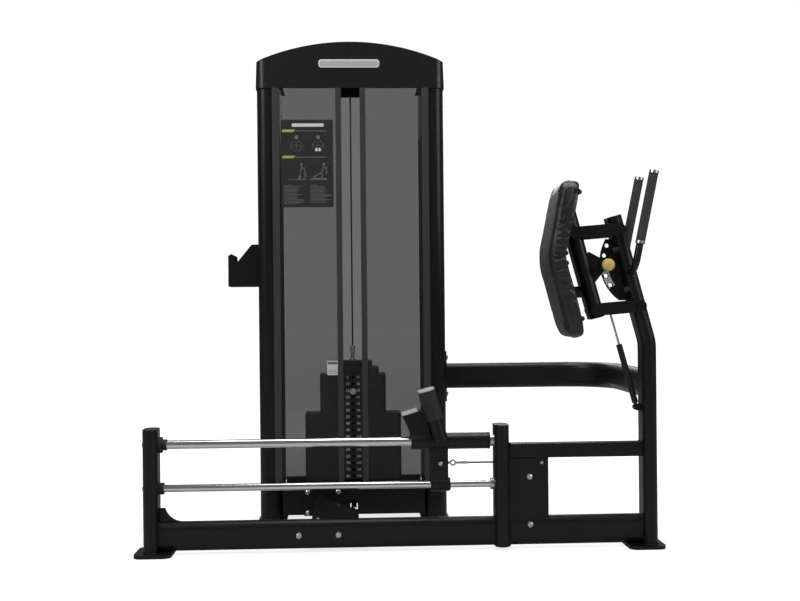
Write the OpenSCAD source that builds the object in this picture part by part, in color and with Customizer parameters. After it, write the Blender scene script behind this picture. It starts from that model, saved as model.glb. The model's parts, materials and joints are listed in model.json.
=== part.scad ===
// Standing glute press: a foot carriage on two guide rods pulls a cable that lifts a pin-loaded weight stack,
// while the user leans on a height-adjustable bent chest pad.
// Working axes: X along the guide rods, Y from the front frame to the rear of the tower, Z up.
// Sizes are first laid out from the tower's centre line (X) and the front frame's middle plane (Y), and placed()
// moves them so that the origin is the bottom centre of the whole object.

/* [Frame tubes] */
// Narrow side of the flat-oval frame tube
tube_w = 50; // [48:1:52]
// Long side of the flat-oval frame tube
tube_h = 100; // [98:1:102]
// Wall thickness of the frame tubes
wall = 3; // [2:0.5:4]

/* [Front frame] */
// Left post, from the tower's centre line
left_post_x = -687; // [-692:1:-682]
// Middle post, from the tower's centre line
mid_post_x = 507; // [504:1:510]
// Right post, from the tower's centre line
right_post_x = 1019; // [1016:1:1022]
// Height of the left and middle posts
post_top = 425; // [420:1:440]
// Thickness of the foot plates under the base tubes
foot_t = 12; // [10:1:14]
// Lean of the right post's upper part
post_lean = 15; // [15:1:15]
// Height where the right post starts to lean
bend_z = 704; // [704:1:704]
// Height of the right post's top end
lean_top_z = 1137; // [1132:1:1142]

/* [Guide rods] */
// Height of the upper guide rod
upper_rod_z = 372.5; // [371:0.5:374]
// Diameter of the upper guide rod
upper_rod_d = 30; // [28:1:30]
// Height of the lower guide rod
lower_rod_z = 224; // [222:1:226]
// Diameter of the lower guide rod
lower_rod_d = 25; // [24:1:26]

/* [Carriage] */
// Left end of the carriage sleeve
sleeve_x0 = 198; // [190:1:200]
// Right end of the carriage sleeve
sleeve_x1 = 468; // [466:1:469]
// Outer diameter of the carriage sleeve
sleeve_d = 57; // [55:1:58]
// Lean of the pedal stem
stem_lean = 15.8; // [15:0.1:17]
// Length of the pedal stem from the sleeve's centre
stem_len = 180; // [170:1:190]

/* [Tower] */
// Outer width of the tower over its columns
tower_w = 726; // [720:1:732]
// Width of one column
column_w = 88; // [86:1:90]
// Front face of the columns, from the front frame's plane
tower_front = 490; // [490:1:490]
// Depth of the columns
tower_depth = 255; // [250:1:258]
// Top of the columns, inside the hood
column_top = 1700; // [1695:1:1705]
// Top of the hood's arch
hood_top = 1866; // [1860:1:1870]

/* [Weight stack] */
// Number of weight plates
plate_count = 16; // [14:1:16]
// Number of narrow plates at the top of the stack
narrow_count = 6; // [5:1:7]
// Number of plates above the selector pin
lifted_count = 3; // [2:1:4]
// Thickness of one plate
plate_t = 25.8; // [25:0.1:26]
// Width of a wide plate
wide_w = 376; // [360:1:380]
// Width of a narrow plate
narrow_w = 258; // [250:1:262]

/* [Chest pad] */
// Width of the chest pad
pad_w = 250; // [240:1:250]
// Thickness of the cushion
cushion_t = 42; // [38:1:46]
// Angle of each half of the pad from vertical
pad_half_angle = 12; // [12:1:12]
// Length of the lift links between their pivots, along X
link_dx = -150; // [-150:1:-150]

/* [Hidden] */
$fn = 48;

// Bottom centre of the object's box, in layout coordinates
mid_x = 162;
mid_y = 315;

// Front frame
base_z = foot_t;
base_top = base_z + tube_h;
half_w = tube_w / 2;
half_h = tube_h / 2;
left_face = left_post_x + half_w;
mid_face = mid_post_x - half_w;
seam_x = mid_post_x + half_w;
seam_t = 4;
crossbar_z = base_top + 200;

lean_cos = cos(post_lean);
lean_len = (lean_top_z - bend_z) / lean_cos;
bend_r = 150;
rod_r = upper_rod_d / 2;
low_r = lower_rod_d / 2;
bolt_r = 6;

// Cable path: two pulleys beside the middle post, one in the corner, one under the stack, one in the hood
cable_r = 3;
groove_gap = 0.3;
front_pulley_r = 50;
front_pulley_x = 603;
upper_pulley_z = 247;
lower_pulley_z = 84;
run_z = lower_pulley_z - front_pulley_r;
corner_r = 30;
base_pulley_r = 50;
base_pulley_y = 670;
top_pulley_r = 55;
top_pulley_y = 665;
top_pulley_z = 1745;
stack_y = 610;
rear_run_y = base_pulley_y + base_pulley_r;
carriage_cable_z = upper_pulley_z + front_pulley_r;

// Tower
column_x = tower_w / 2 - column_w / 2;
column_in = tower_w / 2 - column_w;
tower_back = tower_front + tower_depth;
tower_mid_y = tower_front + tower_depth / 2;
shield_bottom = 138;
hood_bottom = 1687;
stack_z = 163;
wide_count = plate_count - narrow_count;
resting_count = plate_count - lifted_count;
stack_top = stack_z + plate_count * plate_t;
lift_z = stack_z + resting_count * plate_t;
guide_x = 48;
guide_r = 10;
plate_depth = 130;
plate_gap = 0.2;
pin_z = lift_z + plate_t / 2;

// Carriage
stem_x = 300;
pad_start = 78;
eye_x = 341;

// Lift linkage of the chest pad: two equal links between the post and the pad carrier
link_dz = -12;
link_y = 51;
link_t = 6;
link_h = 42;
pivot_r = 8;
pivot_gap = 0.05;
open_gap = 0.6;
upper_pivot = [915, 1093];
lower_pivot = [985, 830];
knob = [869, 970];
sector_centre = [knob[0] - link_dx, knob[1] - link_dz];
sector_step = 13.5;
sector_y0 = -13;
sector_t = 8;
pad_bend = [718, 998];
pad_tilt = 1.8;
board_t = 10;

// Gas spring
spring_eye = [981, 480];
spring_top = [888, 822];
spring_dx = spring_top[0] - spring_eye[0];
spring_dz = spring_top[1] - spring_eye[1];
spring_len = sqrt(spring_dx * spring_dx + spring_dz * spring_dz);
spring_lean = atan2(spring_dx, spring_dz);
cylinder_len = 226;
rod_len = 200;

black_coat = [0.09, 0.09, 0.095];
steel = [0.75, 0.76, 0.78];

module placed() translate([-mid_x, -mid_y, 0]) children();

// Flat outlines
module flat_oval(w, h) {
    square([w, h - w], center = true);
    for (s = [-1, 1]) translate([0, s * (h - w) / 2]) circle(d = w);
}
module oval_ring(w, h, t) difference() {
    flat_oval(w, h);
    flat_oval(w - 2 * t, h - 2 * t);
}
module rounded_rect(w, h, r) {
    square([w - 2 * r, h], center = true);
    square([w, h - 2 * r], center = true);
    for (sx = [-1, 1], sy = [-1, 1]) translate([sx * (w / 2 - r), sy * (h / 2 - r)]) circle(r = r);
}
module rect_ring(w, h, r, t) difference() {
    rounded_rect(w, h, r);
    rounded_rect(w - 2 * t, h - 2 * t, max(r - t, 1));
}

// Directions: an outline's first axis and its second axis keep the frame's order (X, Y or Z)
module along_x(x0, x1) translate([x0, 0, 0]) rotate([90, 0, 90]) linear_extrude(x1 - x0) children();
module along_y(y0, y1) translate([0, y1, 0]) rotate([90, 0, 0]) linear_extrude(y1 - y0) children();
module along_z(z0, z1) translate([0, 0, z0]) linear_extrude(z1 - z0) children();
module rod_x(x0, x1, y, z, r) translate([x0, y, z]) rotate([0, 90, 0]) cylinder(r = r, h = x1 - x0);
module rod_y(x, y0, y1, z, r) translate([x, y1, z]) rotate([90, 0, 0]) cylinder(r = r, h = y1 - y0);
module rod_z(x, y, z0, z1, r) translate([x, y, z0]) cylinder(r = r, h = z1 - z0);
module slab(x, y, z) translate([x[0], y[0], z[0]]) cube([x[1] - x[0], y[1] - y[0], z[1] - z[0]]);

// Button-head screw along +Z with its head above z = 0
module screw(r, length) {
    difference() {
        rotate_extrude() polygon([[0, 0], [1.8 * r, 0], [1.8 * r, 0.3 * r], [1.5 * r, 0.8 * r],
            [0.9 * r, 1.1 * r], [0, 1.1 * r]]);
        translate([0, 0, 0.5 * r]) cylinder(r = 0.7 * r, h = 2 * r, $fn = 6);
    }
    translate([0, 0, -length]) cylinder(r = r, h = length);
}
module screw_front(x, y, z, r, length) translate([x, y, z]) rotate([90, 0, 0]) screw(r, length);
module screw_left(x, y, z, r, length) translate([x, y, z]) rotate([0, -90, 0]) screw(r, length);
module screw_right(x, y, z, r, length) translate([x, y, z]) rotate([0, 90, 0]) screw(r, length);

// Pulley about a local Z axis: the cable's middle runs at radius r
module pulley(r, bore, width = 22) rotate_extrude() difference() {
    translate([bore, -width / 2]) square([r + 4 - bore, width]);
    translate([r, 0]) circle(r = cable_r + groove_gap, $fn = 32);
    translate([r, -cable_r - groove_gap]) square([10, 2 * (cable_r + groove_gap)]);
    for (s = [-1, 1]) translate([(bore + r) / 2, s * (width / 2)]) square([(r - bore) * 0.5, 8], center = true);
}

// ---- Front frame ----
module base_section() translate([0, base_z + half_h]) children();

module left_base_tube() placed() color(black_coat) difference() {
    along_x(left_face, mid_face) base_section() oval_ring(tube_w, tube_h, wall);
    slab([-6, 70], [0, half_w + 1], [run_z - 16, run_z + 16]);
    for (x = [-189, -54]) rod_y(x, -half_w - 1, half_w + 1, 60, bolt_r + 0.1);
}

module right_base_tube() placed() color(black_coat) difference() {
    along_x(seam_x + seam_t, right_post_x - half_w) base_section() oval_ring(tube_w, tube_h, wall);
    slab([front_pulley_x - 58, front_pulley_x + 58], [-14, 14], [base_top - 40, base_top + 1]);
    rod_y(front_pulley_x, -half_w - 1, half_w + 1, lower_pulley_z, bolt_r + 0.02);
}

// Left and middle posts, with the holes for the rod screws and for the cable
module short_posts() placed() color(black_coat) {
    difference() {
        translate([left_post_x, 0, 0]) along_z(base_z, post_top) oval_ring(tube_w, tube_h, wall);
        for (z = [upper_rod_z, lower_rod_z])
            rod_x(left_post_x - half_w - 1, left_post_x + half_w + 1, 0, z, bolt_r + 0.02);
    }
    difference() {
        translate([mid_post_x, 0, 0]) along_z(base_z, post_top) oval_ring(tube_w, tube_h, wall);
        for (z = [run_z, carriage_cable_z]) rod_x(mid_face - 1, seam_x + 1, 0, z, 9);
    }
}

// Right post's outline swept along its line: upright, bend and leaning part
module right_post_sweep() {
    turn = bend_r * tan(post_lean / 2);
    translate([right_post_x, 0, 0]) along_z(base_z, bend_z - turn) children();
    translate([right_post_x - bend_r, 0, bend_z - turn]) rotate([90, 0, 0])
        rotate_extrude(angle = post_lean, $fn = 96) translate([bend_r, 0]) children();
    translate([right_post_x, 0, bend_z]) rotate([0, -post_lean, 0]) along_z(turn, lean_len) children();
}
module leaning_post() translate([right_post_x, 0, bend_z]) rotate([0, -post_lean, 0])
    along_z(bend_r * tan(post_lean / 2), lean_len) flat_oval(tube_w, tube_h);

module right_post() placed() color(black_coat) difference() {
    right_post_sweep() oval_ring(tube_w, tube_h, wall);
    for (p = [upper_pivot, lower_pivot]) rod_y(p[0], -half_h - 1, half_h + 1, p[1], pivot_r + 0.02);
    for (z = [318, 150]) rod_x(right_post_x, right_post_x + half_w + 1, 0, z, 4.02);
}

module crossbar() placed() color(black_coat)
    along_x(seam_x + seam_t, right_post_x - half_w) translate([0, crossbar_z + 25]) rect_ring(50, 50, 7, wall);

// Seam plate between the two halves of the frame, gusset at the left post, and the gas spring's bracket
module frame_plates() placed() color(black_coat) {
    difference() {
        slab([seam_x, seam_x + seam_t], [-24, 24], [base_z, crossbar_z + 50]);
        for (z = [run_z, carriage_cable_z]) rod_x(seam_x - 1, seam_x + seam_t + 1, 0, z, 9);
    }
    along_y(-4, 4) difference() {
        translate([left_face, base_top]) square([72, 46]);
        translate([left_face + 80, base_top + 62]) circle(r = 62);
        translate([left_face + 50, base_top + 16]) square([40, 40]);
    }
    for (s = [-1, 1]) difference() {
        along_y(s * 14 - 2, s * 14 + 2) {
            translate(spring_eye) circle(r = 11);
            translate([spring_eye[0], spring_eye[1] - 11]) square([right_post_x - half_w - spring_eye[0], 22]);
        }
        rod_y(spring_eye[0], -20, 20, spring_eye[1], 5.02);
    }
}

// Sheet box around the two pulleys beside the middle post
module pulley_cover() placed() color(black_coat) difference() {
    slab([seam_x + seam_t, 668], [-20, 20], [base_top - 9, crossbar_z]);
    slab([seam_x, 665], [-17, 17], [base_top - 20, crossbar_z + 1]);
    along_x(seam_x, 670) base_section() flat_oval(tube_w, tube_h);
    rod_y(front_pulley_x, -21, 21, upper_pulley_z, bolt_r + 0.02);
    rod_y(645, -21, 21, 295, 3.1);
}

module foot_plate(x) translate([x, 0, 0]) along_z(0, foot_t) difference() {
    rounded_rect(126, 150, 28);
    for (s = [-1, 1]) translate([0, s * 62]) circle(d = 11);
}
module base_feet() placed() color(black_coat) {
    foot_plate(-677.5);
    foot_plate(1001.5);
}

module post_caps() placed() color([0.13, 0.13, 0.14]) {
    for (x = [left_post_x, mid_post_x]) translate([x, 0, 0]) {
        along_z(post_top, post_top + 3) flat_oval(tube_w, tube_h);
        along_z(post_top - 14, post_top) flat_oval(tube_w - 2 * wall - 0.4, tube_h - 2 * wall - 0.4);
    }
    translate([right_post_x, 0, bend_z]) rotate([0, -post_lean, 0]) {
        along_z(lean_len, lean_len + 3) flat_oval(tube_w, tube_h);
        along_z(lean_len - 14, lean_len) flat_oval(tube_w - 2 * wall - 0.4, tube_h - 2 * wall - 0.4);
    }
}

// ---- Guide rods ----
module guide_rod(z, r) difference() {
    rod_x(left_face, mid_face, 0, z, r);
    rod_x(left_face - 1, left_face + 32, 0, z, bolt_r + 0.02);
}
module guide_rods() placed() color(steel) {
    guide_rod(upper_rod_z, rod_r);
    guide_rod(lower_rod_z, low_r);
}

module rod_collars() placed() color(steel) for (rod = [[upper_rod_z, rod_r], [lower_rod_z, low_r]])
    difference() {
        rod_x(mid_face - 12, mid_face, 0, rod[0], 20.5);
        rod_x(mid_face - 13, mid_face + 1, 0, rod[0], rod[1] + 0.02);
        rod_z(mid_face - 6, 0, rod[0] + 10, rod[0] + 22, 2.5);
    }

// Rubber stops: carriage bumper and collar on the guide rods, stack cushions, and the two lift stops
module rubber_stops() placed() color([0.05, 0.05, 0.05]) {
    difference() {
        union() {
            rod_x(left_face, left_face + 12, 0, upper_rod_z, 27.5);
            rod_x(left_face + 12, left_face + 28, 0, upper_rod_z, 19);
        }
        rod_x(left_face - 1, left_face + 30, 0, upper_rod_z, rod_r + 0.02);
    }
    difference() {
        rod_x(left_face, left_face + 17, 0, lower_rod_z, 20);
        rod_x(left_face - 1, left_face + 20, 0, lower_rod_z, low_r + 0.02);
    }
    for (s = [-1, 1]) difference() {
        rod_z(s * guide_x, stack_y, 137, stack_z, 24);
        rod_z(s * guide_x, stack_y, 136, stack_z + 1, guide_r + 0.02);
    }
    difference() {
        for (b = [[924, 1027], [962, 892]]) translate([b[0], -34, b[1]]) rotate([0, -post_lean - 90, 0])
            cylinder(r = 10, h = 30);
        leaning_post();
    }
}

// Every fixed screw of the frame, tower and covers
module frame_bolts() placed() color(steel) {
    for (z = [upper_rod_z, lower_rod_z]) screw_left(left_post_x - half_w, 0, z, bolt_r, 79);
    for (x = [-189, -54]) screw_front(x, -half_w, 60, bolt_r, 58);
    for (x = [-178, -61], z = [45, 125]) screw_front(x, tower_front - 8, z, bolt_r, 12);
    screw_front(645, -20, 295, 3, 5);
    for (y = [572, 648], z = [493, 637]) screw_right(tower_w / 2 + 8, y, z, bolt_r, 11);
    for (z = [318, 150]) screw_right(right_post_x + half_w, 0, z, 4, 3);
}

// ---- Cross tube between frame and tower ----
cross_x = -125;
module cross_tube() placed() color(black_coat) {
    along_y(half_w + 8, tower_front - 8) translate([cross_x, base_z + half_h]) oval_ring(tube_w, tube_h, wall);
    difference() {
        along_y(half_w, half_w + 8) translate([cross_x + 4, 62]) rounded_rect(176, 70, 6);
        for (x = [-189, -54]) rod_y(x, half_w - 1, half_w + 9, 60, bolt_r + 0.1);
    }
    difference() {
        along_y(tower_front - 8, tower_front) translate([-119.5, 85]) rounded_rect(152, 104, 10);
        for (x = [-178, -61], z = [45, 125]) rod_y(x, tower_front - 9, tower_front + 1, z, bolt_r + 0.02);
    }
}

module corner_cover() placed() color(black_coat) difference() {
    union() {
        along_z(base_top - 4, base_top) polygon([[cross_x, 8], [16, 8], [16, 165], [-100, 385], [cross_x, 385]]);
        slab([13, 16], [34, 165], [base_top - 20, base_top - 4]);
    }
    along_x(-200, 100) base_section() flat_oval(tube_w, tube_h);
    along_y(0, 400) translate([cross_x, base_z + half_h]) flat_oval(tube_w, tube_h);
    slab([cross_x - 30, cross_x], [0, 400], [100, 120]);
}

// ---- Carriage ----
module carriage_sleeve() placed() color(black_coat) difference() {
    union() {
        rod_x(sleeve_x0, sleeve_x1, 0, upper_rod_z, sleeve_d / 2 - 1);
        rod_x(sleeve_x0 + 5, sleeve_x1 - 7, 0, upper_rod_z, sleeve_d / 2);
        rod_x(sleeve_x1 - 6, sleeve_x1, 0, upper_rod_z, sleeve_d / 2 + 1);
    }
    rod_x(sleeve_x0 - 1, sleeve_x1 + 1, 0, upper_rod_z, 20);
}

module carriage_bushings() placed() color([0.15, 0.15, 0.16]) {
    for (x = [sleeve_x0, sleeve_x1 - 42]) difference() {
        rod_x(x, x + 42, 0, upper_rod_z, 20);
        rod_x(x - 1, x + 43, 0, upper_rod_z, rod_r + 0.05);
    }
    difference() {
        rod_x(264, 331, 0, lower_rod_z, 17);
        rod_x(263, 332, 0, lower_rod_z, low_r + 0.05);
    }
}

// Hanger tube down to the lower bearing, with its saddle and bearing shell
module carriage_hanger() placed() color(black_coat) difference() {
    union() {
        translate([293, 0, 0]) along_z(lower_rod_z, upper_rod_z) rounded_rect(62, 36, 6);
        rod_x(264, 331, 0, lower_rod_z, 22);
        rod_x(270, 326, 0, lower_rod_z, 24);
        rod_y(296, -22, 22, 297, 9);
    }
    translate([293, 0, 0]) along_z(lower_rod_z, upper_rod_z) rounded_rect(54, 28, 3);
    rod_x(190, 470, 0, upper_rod_z, sleeve_d / 2);
    rod_x(261, 332, 0, lower_rod_z, 17);
    rod_x(318, 326, 0, carriage_cable_z, 5.02);
    rod_y(296, -23, 23, 297, 5);
}

module stem_placed() translate([stem_x, 0, upper_rod_z]) rotate([0, -stem_lean, 0]) children();

module pedal_stem() placed() color(black_coat) difference() {
    stem_placed() along_z(0, stem_len) flat_oval(tube_w, tube_h);
    stem_placed() along_z(30, stem_len + 1) flat_oval(tube_w - 2 * wall, tube_h - 2 * wall);
    rod_x(190, 470, 0, upper_rod_z, sleeve_d / 2);
}

module pedal_pad() placed() color([0.07, 0.07, 0.07]) stem_placed()
    along_z(pad_start, stem_len) difference() {
        flat_oval(tube_w + 8, tube_h + 8);
        flat_oval(tube_w, tube_h);
    }

// Heel block: a short plate box behind the stem with a hollowed rear edge
module heel_outline() difference() {
    polygon([[167, 460], [227, 478], [262, 452], [292, 372], [197, 372], [197, 392], [187, 421]]);
    translate([155, 407]) circle(r = 34);
}
module heel_block() placed() color(black_coat) difference() {
    along_y(-22, 88) heel_outline();
    rod_x(180, 320, 0, upper_rod_z, sleeve_d / 2);
    stem_placed() along_z(-30, stem_len + 10) flat_oval(tube_w + 8.2, tube_h + 8.2);
}

// Bright end plates on the pedal stem and on the heel block
module pedal_caps() placed() color(steel) {
    stem_placed() along_z(stem_len, stem_len + 5) flat_oval(tube_w + 6, tube_h + 6);
    translate([167, 0, 460]) rotate([0, -16.7, 0]) slab([1, 58], [-20, 86], [0, 4]);
}

module cable_eyebolt() placed() color(steel) {
    difference() {
        union() {
            rod_x(318, 333, 0, carriage_cable_z, 5);
            rod_y(eye_x, -4, 4, carriage_cable_z, 11);
        }
        rod_y(eye_x, -5, 5, carriage_cable_z, 5.5);
    }
    rod_x(eye_x + 11, eye_x + 33, 0, carriage_cable_z, 4.5);
    for (s = [-1, 1]) translate([296, s * 22, 297]) rotate([-90 * s, 0, 0]) screw(4.5, 1);
}

// ---- Pulleys ----
module upper_front_pulley() placed() color([0.12, 0.12, 0.13])
    translate([front_pulley_x, 0, upper_pulley_z]) rotate([90, 0, 0]) pulley(front_pulley_r, bolt_r + 0.05);
module lower_front_pulley() placed() color([0.12, 0.12, 0.13])
    translate([front_pulley_x, 0, lower_pulley_z]) rotate([90, 0, 0]) pulley(front_pulley_r, bolt_r + 0.05);
module corner_pulley() placed() color([0.12, 0.12, 0.13])
    translate([corner_r, corner_r, run_z]) pulley(corner_r, bolt_r + 0.05, 18);
module tower_base_pulley() placed() color([0.12, 0.12, 0.13])
    translate([0, base_pulley_y, run_z + base_pulley_r]) rotate([0, 90, 0]) pulley(base_pulley_r, bolt_r + 0.05);
module top_pulley() placed() color([0.12, 0.12, 0.13])
    translate([0, top_pulley_y, top_pulley_z]) rotate([0, 90, 0]) pulley(top_pulley_r, bolt_r + 0.05);

// Axle bolts and the bracket plates that carry the corner, base and top pulleys
module pulley_axles() placed() color(steel) {
    rod_y(front_pulley_x, -20, 20, upper_pulley_z, bolt_r);
    translate([front_pulley_x, -20, upper_pulley_z]) rotate([90, 0, 0]) screw(bolt_r, 1);
    rod_y(front_pulley_x, -half_w, half_w, lower_pulley_z, bolt_r);
    translate([front_pulley_x, -half_w, lower_pulley_z]) rotate([90, 0, 0]) screw(bolt_r, 1);
    slab([12, 48], [half_w, 78], [run_z + 11, run_z + 15]);
    slab([12, 48], [half_w, 78], [run_z - 15, run_z - 11]);
    slab([12, 48], [74, 78], [run_z - 11, run_z + 11]);
    rod_z(corner_r, corner_r, run_z - 15, run_z + 15, bolt_r);
    for (s = [-1, 1]) {
        along_x(s * 21.5 - 2.5, s * 21.5 + 2.5) polygon([[622, 60], [690, 60], [690, 110], [664, 125],
            [622, 125]]);
        along_x(s * 21.5 - 2.5, s * 21.5 + 2.5) polygon([[596, shelf_z + shelf_t], [634, shelf_z + shelf_t],
            [692, 1726], [692, 1775], [630, 1775], [596, shelf_z + 40]]);
    }
    rod_x(-19, 19, base_pulley_y, run_z + base_pulley_r, bolt_r);
    rod_x(-19, 19, top_pulley_y, top_pulley_z, bolt_r);
}

// ---- Cable ----
// Quarter turn about a local Z axis, from the +X side towards the +Y side
module cable_arc(r, angle) rotate_extrude(angle = angle, $fn = 64) translate([r, 0]) circle(r = cable_r);

module machine_cable() placed() color([0.1, 0.1, 0.1]) {
    rod_x(mid_face - 2, front_pulley_x, 0, carriage_cable_z, cable_r);
    translate([front_pulley_x, 0, upper_pulley_z]) rotate([90, 0, 0]) cable_arc(front_pulley_r, 90);
    rod_z(front_pulley_x + front_pulley_r, 0, lower_pulley_z, upper_pulley_z, cable_r);
    translate([front_pulley_x, 0, lower_pulley_z]) rotate([90, 0, 0]) rotate([0, 0, -90])
        cable_arc(front_pulley_r, 90);
    rod_x(corner_r, front_pulley_x, 0, run_z, cable_r);
    translate([corner_r, corner_r, run_z]) rotate([0, 0, 180]) cable_arc(corner_r, 90);
    rod_y(0, corner_r, base_pulley_y, run_z, cable_r);
    translate([0, base_pulley_y, run_z + base_pulley_r]) rotate([90, 0, 90]) rotate([0, 0, -90])
        cable_arc(base_pulley_r, 90);
    rod_z(0, rear_run_y, run_z + base_pulley_r, top_pulley_z, cable_r);
    translate([0, top_pulley_y, top_pulley_z]) rotate([90, 0, 90]) cable_arc(top_pulley_r, 180);
}

module carriage_cable() placed() color([0.1, 0.1, 0.1])
    rod_x(eye_x + 33, mid_face - 2, 0, carriage_cable_z, cable_r);

terminal_top = stack_top + 108;
module stack_cable() placed() color([0.1, 0.1, 0.1])
    rod_z(0, stack_y, terminal_top, top_pulley_z, cable_r);

// ---- Tower ----
module tower_columns() placed() color(black_coat) difference() {
    for (s = [-1, 1]) translate([s * column_x, tower_mid_y, 0]) {
        along_z(10, column_top) rect_ring(column_w, tower_depth, 36, wall);
        along_z(0, 10) rounded_rect(column_w + 20, tower_depth + 20, 40);
    }
    for (y = [572, 648], z = [493, 637]) rod_x(tower_w / 2 - 10, tower_w / 2 + 1, y, z, bolt_r + 0.02);
}

// Front beam, rear kick sheet, and the bearer that the guide rods stand on
module tower_base() placed() color(black_coat) {
    difference() {
        slab([-column_in, column_in], [tower_front, tower_front + 50], [36, 136]);
        slab([-column_in - 1, column_in + 1], [tower_front + 3, tower_front + 47], [39, 133]);
        slab([-14, 14], [tower_front - 1, tower_front + 51], [30, 90]);
        for (x = [-178, -61], z = [45, 125])
            rod_y(x, tower_front - 1, tower_front + 5, z, bolt_r + 0.02);
    }
    slab([-column_in, column_in], [tower_back - 8, tower_back - 5], [36, 150]);
    difference() {
        slab([-column_in, column_in], [555, 665], [125, 137]);
        slab([-16, 16], [615, 666], [120, 140]);
        for (s = [-1, 1]) rod_z(s * guide_x, stack_y, 124, 138, guide_r + 0.02);
    }
    slab([-column_in, column_in], [555, 561], [90, 125]);
}

// Shelf inside the hood that the guide rods and the cable pass, with its legs and the pulley's front plate
shelf_z = column_top + 20;
shelf_t = 4;
module tower_top_beam() placed() color(black_coat) difference() {
    union() {
        slab([-column_x - 36, column_x + 36], [586, 634], [shelf_z, shelf_z + shelf_t]);
        slab([-column_x - 36, column_x + 36], [586, 590], [shelf_z + shelf_t, shelf_z + 40]);
        for (s = [-1, 1]) slab([s * column_x - 30, s * column_x + 30], [586, 634], [column_top + 4, shelf_z]);
        slab([-38, 38], [586, 590], [1670, shelf_z]);
    }
    slab([-14, 14], [597, 635], [shelf_z - 1, shelf_z + shelf_t + 1]);
    for (s = [-1, 1]) rod_z(s * guide_x, stack_y, shelf_z - 1, shelf_z + shelf_t + 1, guide_r + 0.02);
}

// Hood: an arched shell whose sides taper, carried on the column tops
hood_half_low = tower_w / 2 + 3;
hood_half_high = 362;
hood_shoulder = 1788;
arch_drop = hood_top - hood_shoulder - 2;
rear_top = 1745;
arch_r = (hood_half_high * hood_half_high + arch_drop * arch_drop) / (2 * arch_drop);
module hood_face(inset) {
    polygon([[-hood_half_low + inset, hood_bottom], [hood_half_low - inset, hood_bottom],
        [hood_half_high - inset, hood_shoulder - inset], [-hood_half_high + inset, hood_shoulder - inset]]);
    intersection() {
        translate([0, hood_top - arch_r - inset]) circle(r = arch_r, $fn = 128);
        translate([-hood_half_high + inset, hood_shoulder - inset - 1]) square([2 * (hood_half_high - inset), 90]);
    }
}
module hood_block(inset, z0) intersection() {
    along_y(tower_front - 8, tower_back + 8) hood_face(inset);
    translate([0, tower_mid_y, 0]) along_z(z0, hood_top + 5)
        rounded_rect(2 * (hood_half_low + 3 - inset), tower_depth + 14 - 2 * inset, 40);
}
module hood() placed() color([0.06, 0.06, 0.065]) difference() {
    hood_block(0, hood_bottom);
    difference() {
        hood_block(4, column_top);
        for (s = [-1, 1]) translate([s * column_x, tower_mid_y, 0])
            along_z(column_top - 1, column_top + 4) square([110, 180], center = true);
    }
    slab([-column_in - 11, column_in + 11], [tower_back - 14, tower_back + 9], [hood_bottom - 1, rear_top]);
    translate([0, tower_mid_y, 0]) along_z(hood_bottom - 1, column_top)
        rounded_rect(tower_w + 0.6, tower_depth + 0.6, 36);
}

// Smoked sheets, with a gap in the middle of the front for the selector pin
shield_gap = 36;
shield_out = 303;
module smoked_shields() placed() color([0.35, 0.36, 0.37, 0.5]) {
    for (s = [-1, 1]) slab([s > 0 ? shield_gap + 6 : -shield_out + 6, s > 0 ? shield_out - 6 : -shield_gap - 6],
        [tower_front - 5, tower_front - 1], [shield_bottom, hood_bottom]);
    slab([-column_in - 9, column_in + 9], [tower_back - 12, tower_back - 8], [shield_bottom, rear_top - 1]);
}

module shield_channels() placed() color(black_coat) for (s = [-1, 1]) {
    for (x = [shield_gap, shield_out - 28]) {
        w = x == shield_gap ? 22 : 28;
        slab([s > 0 ? x : -x - w, s > 0 ? x + w : -x], [tower_front - 7, tower_front - 5],
            [shield_bottom, hood_bottom]);
        slab([s > 0 ? x : -x - w, s > 0 ? x + w : -x], [tower_front - 1, tower_front],
            [shield_bottom, hood_bottom]);
    }
    slab([s > 0 ? shield_gap : -shield_gap - 6, s > 0 ? shield_gap + 6 : -shield_gap],
        [tower_front - 5, tower_front - 1], [shield_bottom, hood_bottom]);
    slab([s > 0 ? shield_out - 6 : -shield_out, s > 0 ? shield_out : -shield_out + 6],
        [tower_front - 5, tower_front - 1], [shield_bottom, hood_bottom]);
}

module placard() placed() color([0.1, 0.1, 0.11])
    along_y(tower_front - 8, tower_front - 5) translate([-168, 1395]) rounded_rect(200, 338, 5);

module stack_guide_rods() placed() color(steel)
    for (s = [-1, 1]) rod_z(s * guide_x, stack_y, 125, shelf_z + shelf_t, guide_r);

module weight_plate(w, index) difference() {
    translate([0, stack_y, 0]) along_z(stack_z + index * plate_t, stack_z + (index + 1) * plate_t - plate_gap)
        rounded_rect(w, plate_depth, 12);
    rod_z(0, stack_y, stack_z + index * plate_t - 1, stack_z + (index + 1) * plate_t + 1, 14);
    for (s = [-1, 1]) rod_z(s * guide_x, stack_y, stack_z + index * plate_t - 1,
        stack_z + (index + 1) * plate_t + 1, guide_r + 0.6);
    rod_y(0, stack_y - plate_depth / 2 - 1, stack_y, stack_z + (index + 0.5) * plate_t, 5.05);
}
module resting_plates() placed() color([0.16, 0.16, 0.17])
    for (i = [0 : resting_count - 1]) weight_plate(i < wide_count ? wide_w : narrow_w, i);
module lifted_plates() placed() color([0.16, 0.16, 0.17])
    for (i = [resting_count : plate_count - 1]) weight_plate(narrow_w, i);

// Stepped block on top of the stack, bored for the guide rods and clamped to the selector rod
module head_plate() placed() color([0.16, 0.16, 0.17]) difference() {
    translate([0, stack_y, 0]) {
        along_z(stack_top, stack_top + 28) rounded_rect(narrow_w - 54, plate_depth - 10, 10);
        along_z(stack_top + 28, stack_top + 52) rounded_rect(152, 90, 8);
    }
    rod_z(0, stack_y, stack_top - 1, stack_top + 60, 12.52);
    for (s = [-1, 1]) rod_z(s * guide_x, stack_y, stack_top - 1, stack_top + 53, guide_r + 0.05);
}

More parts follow.
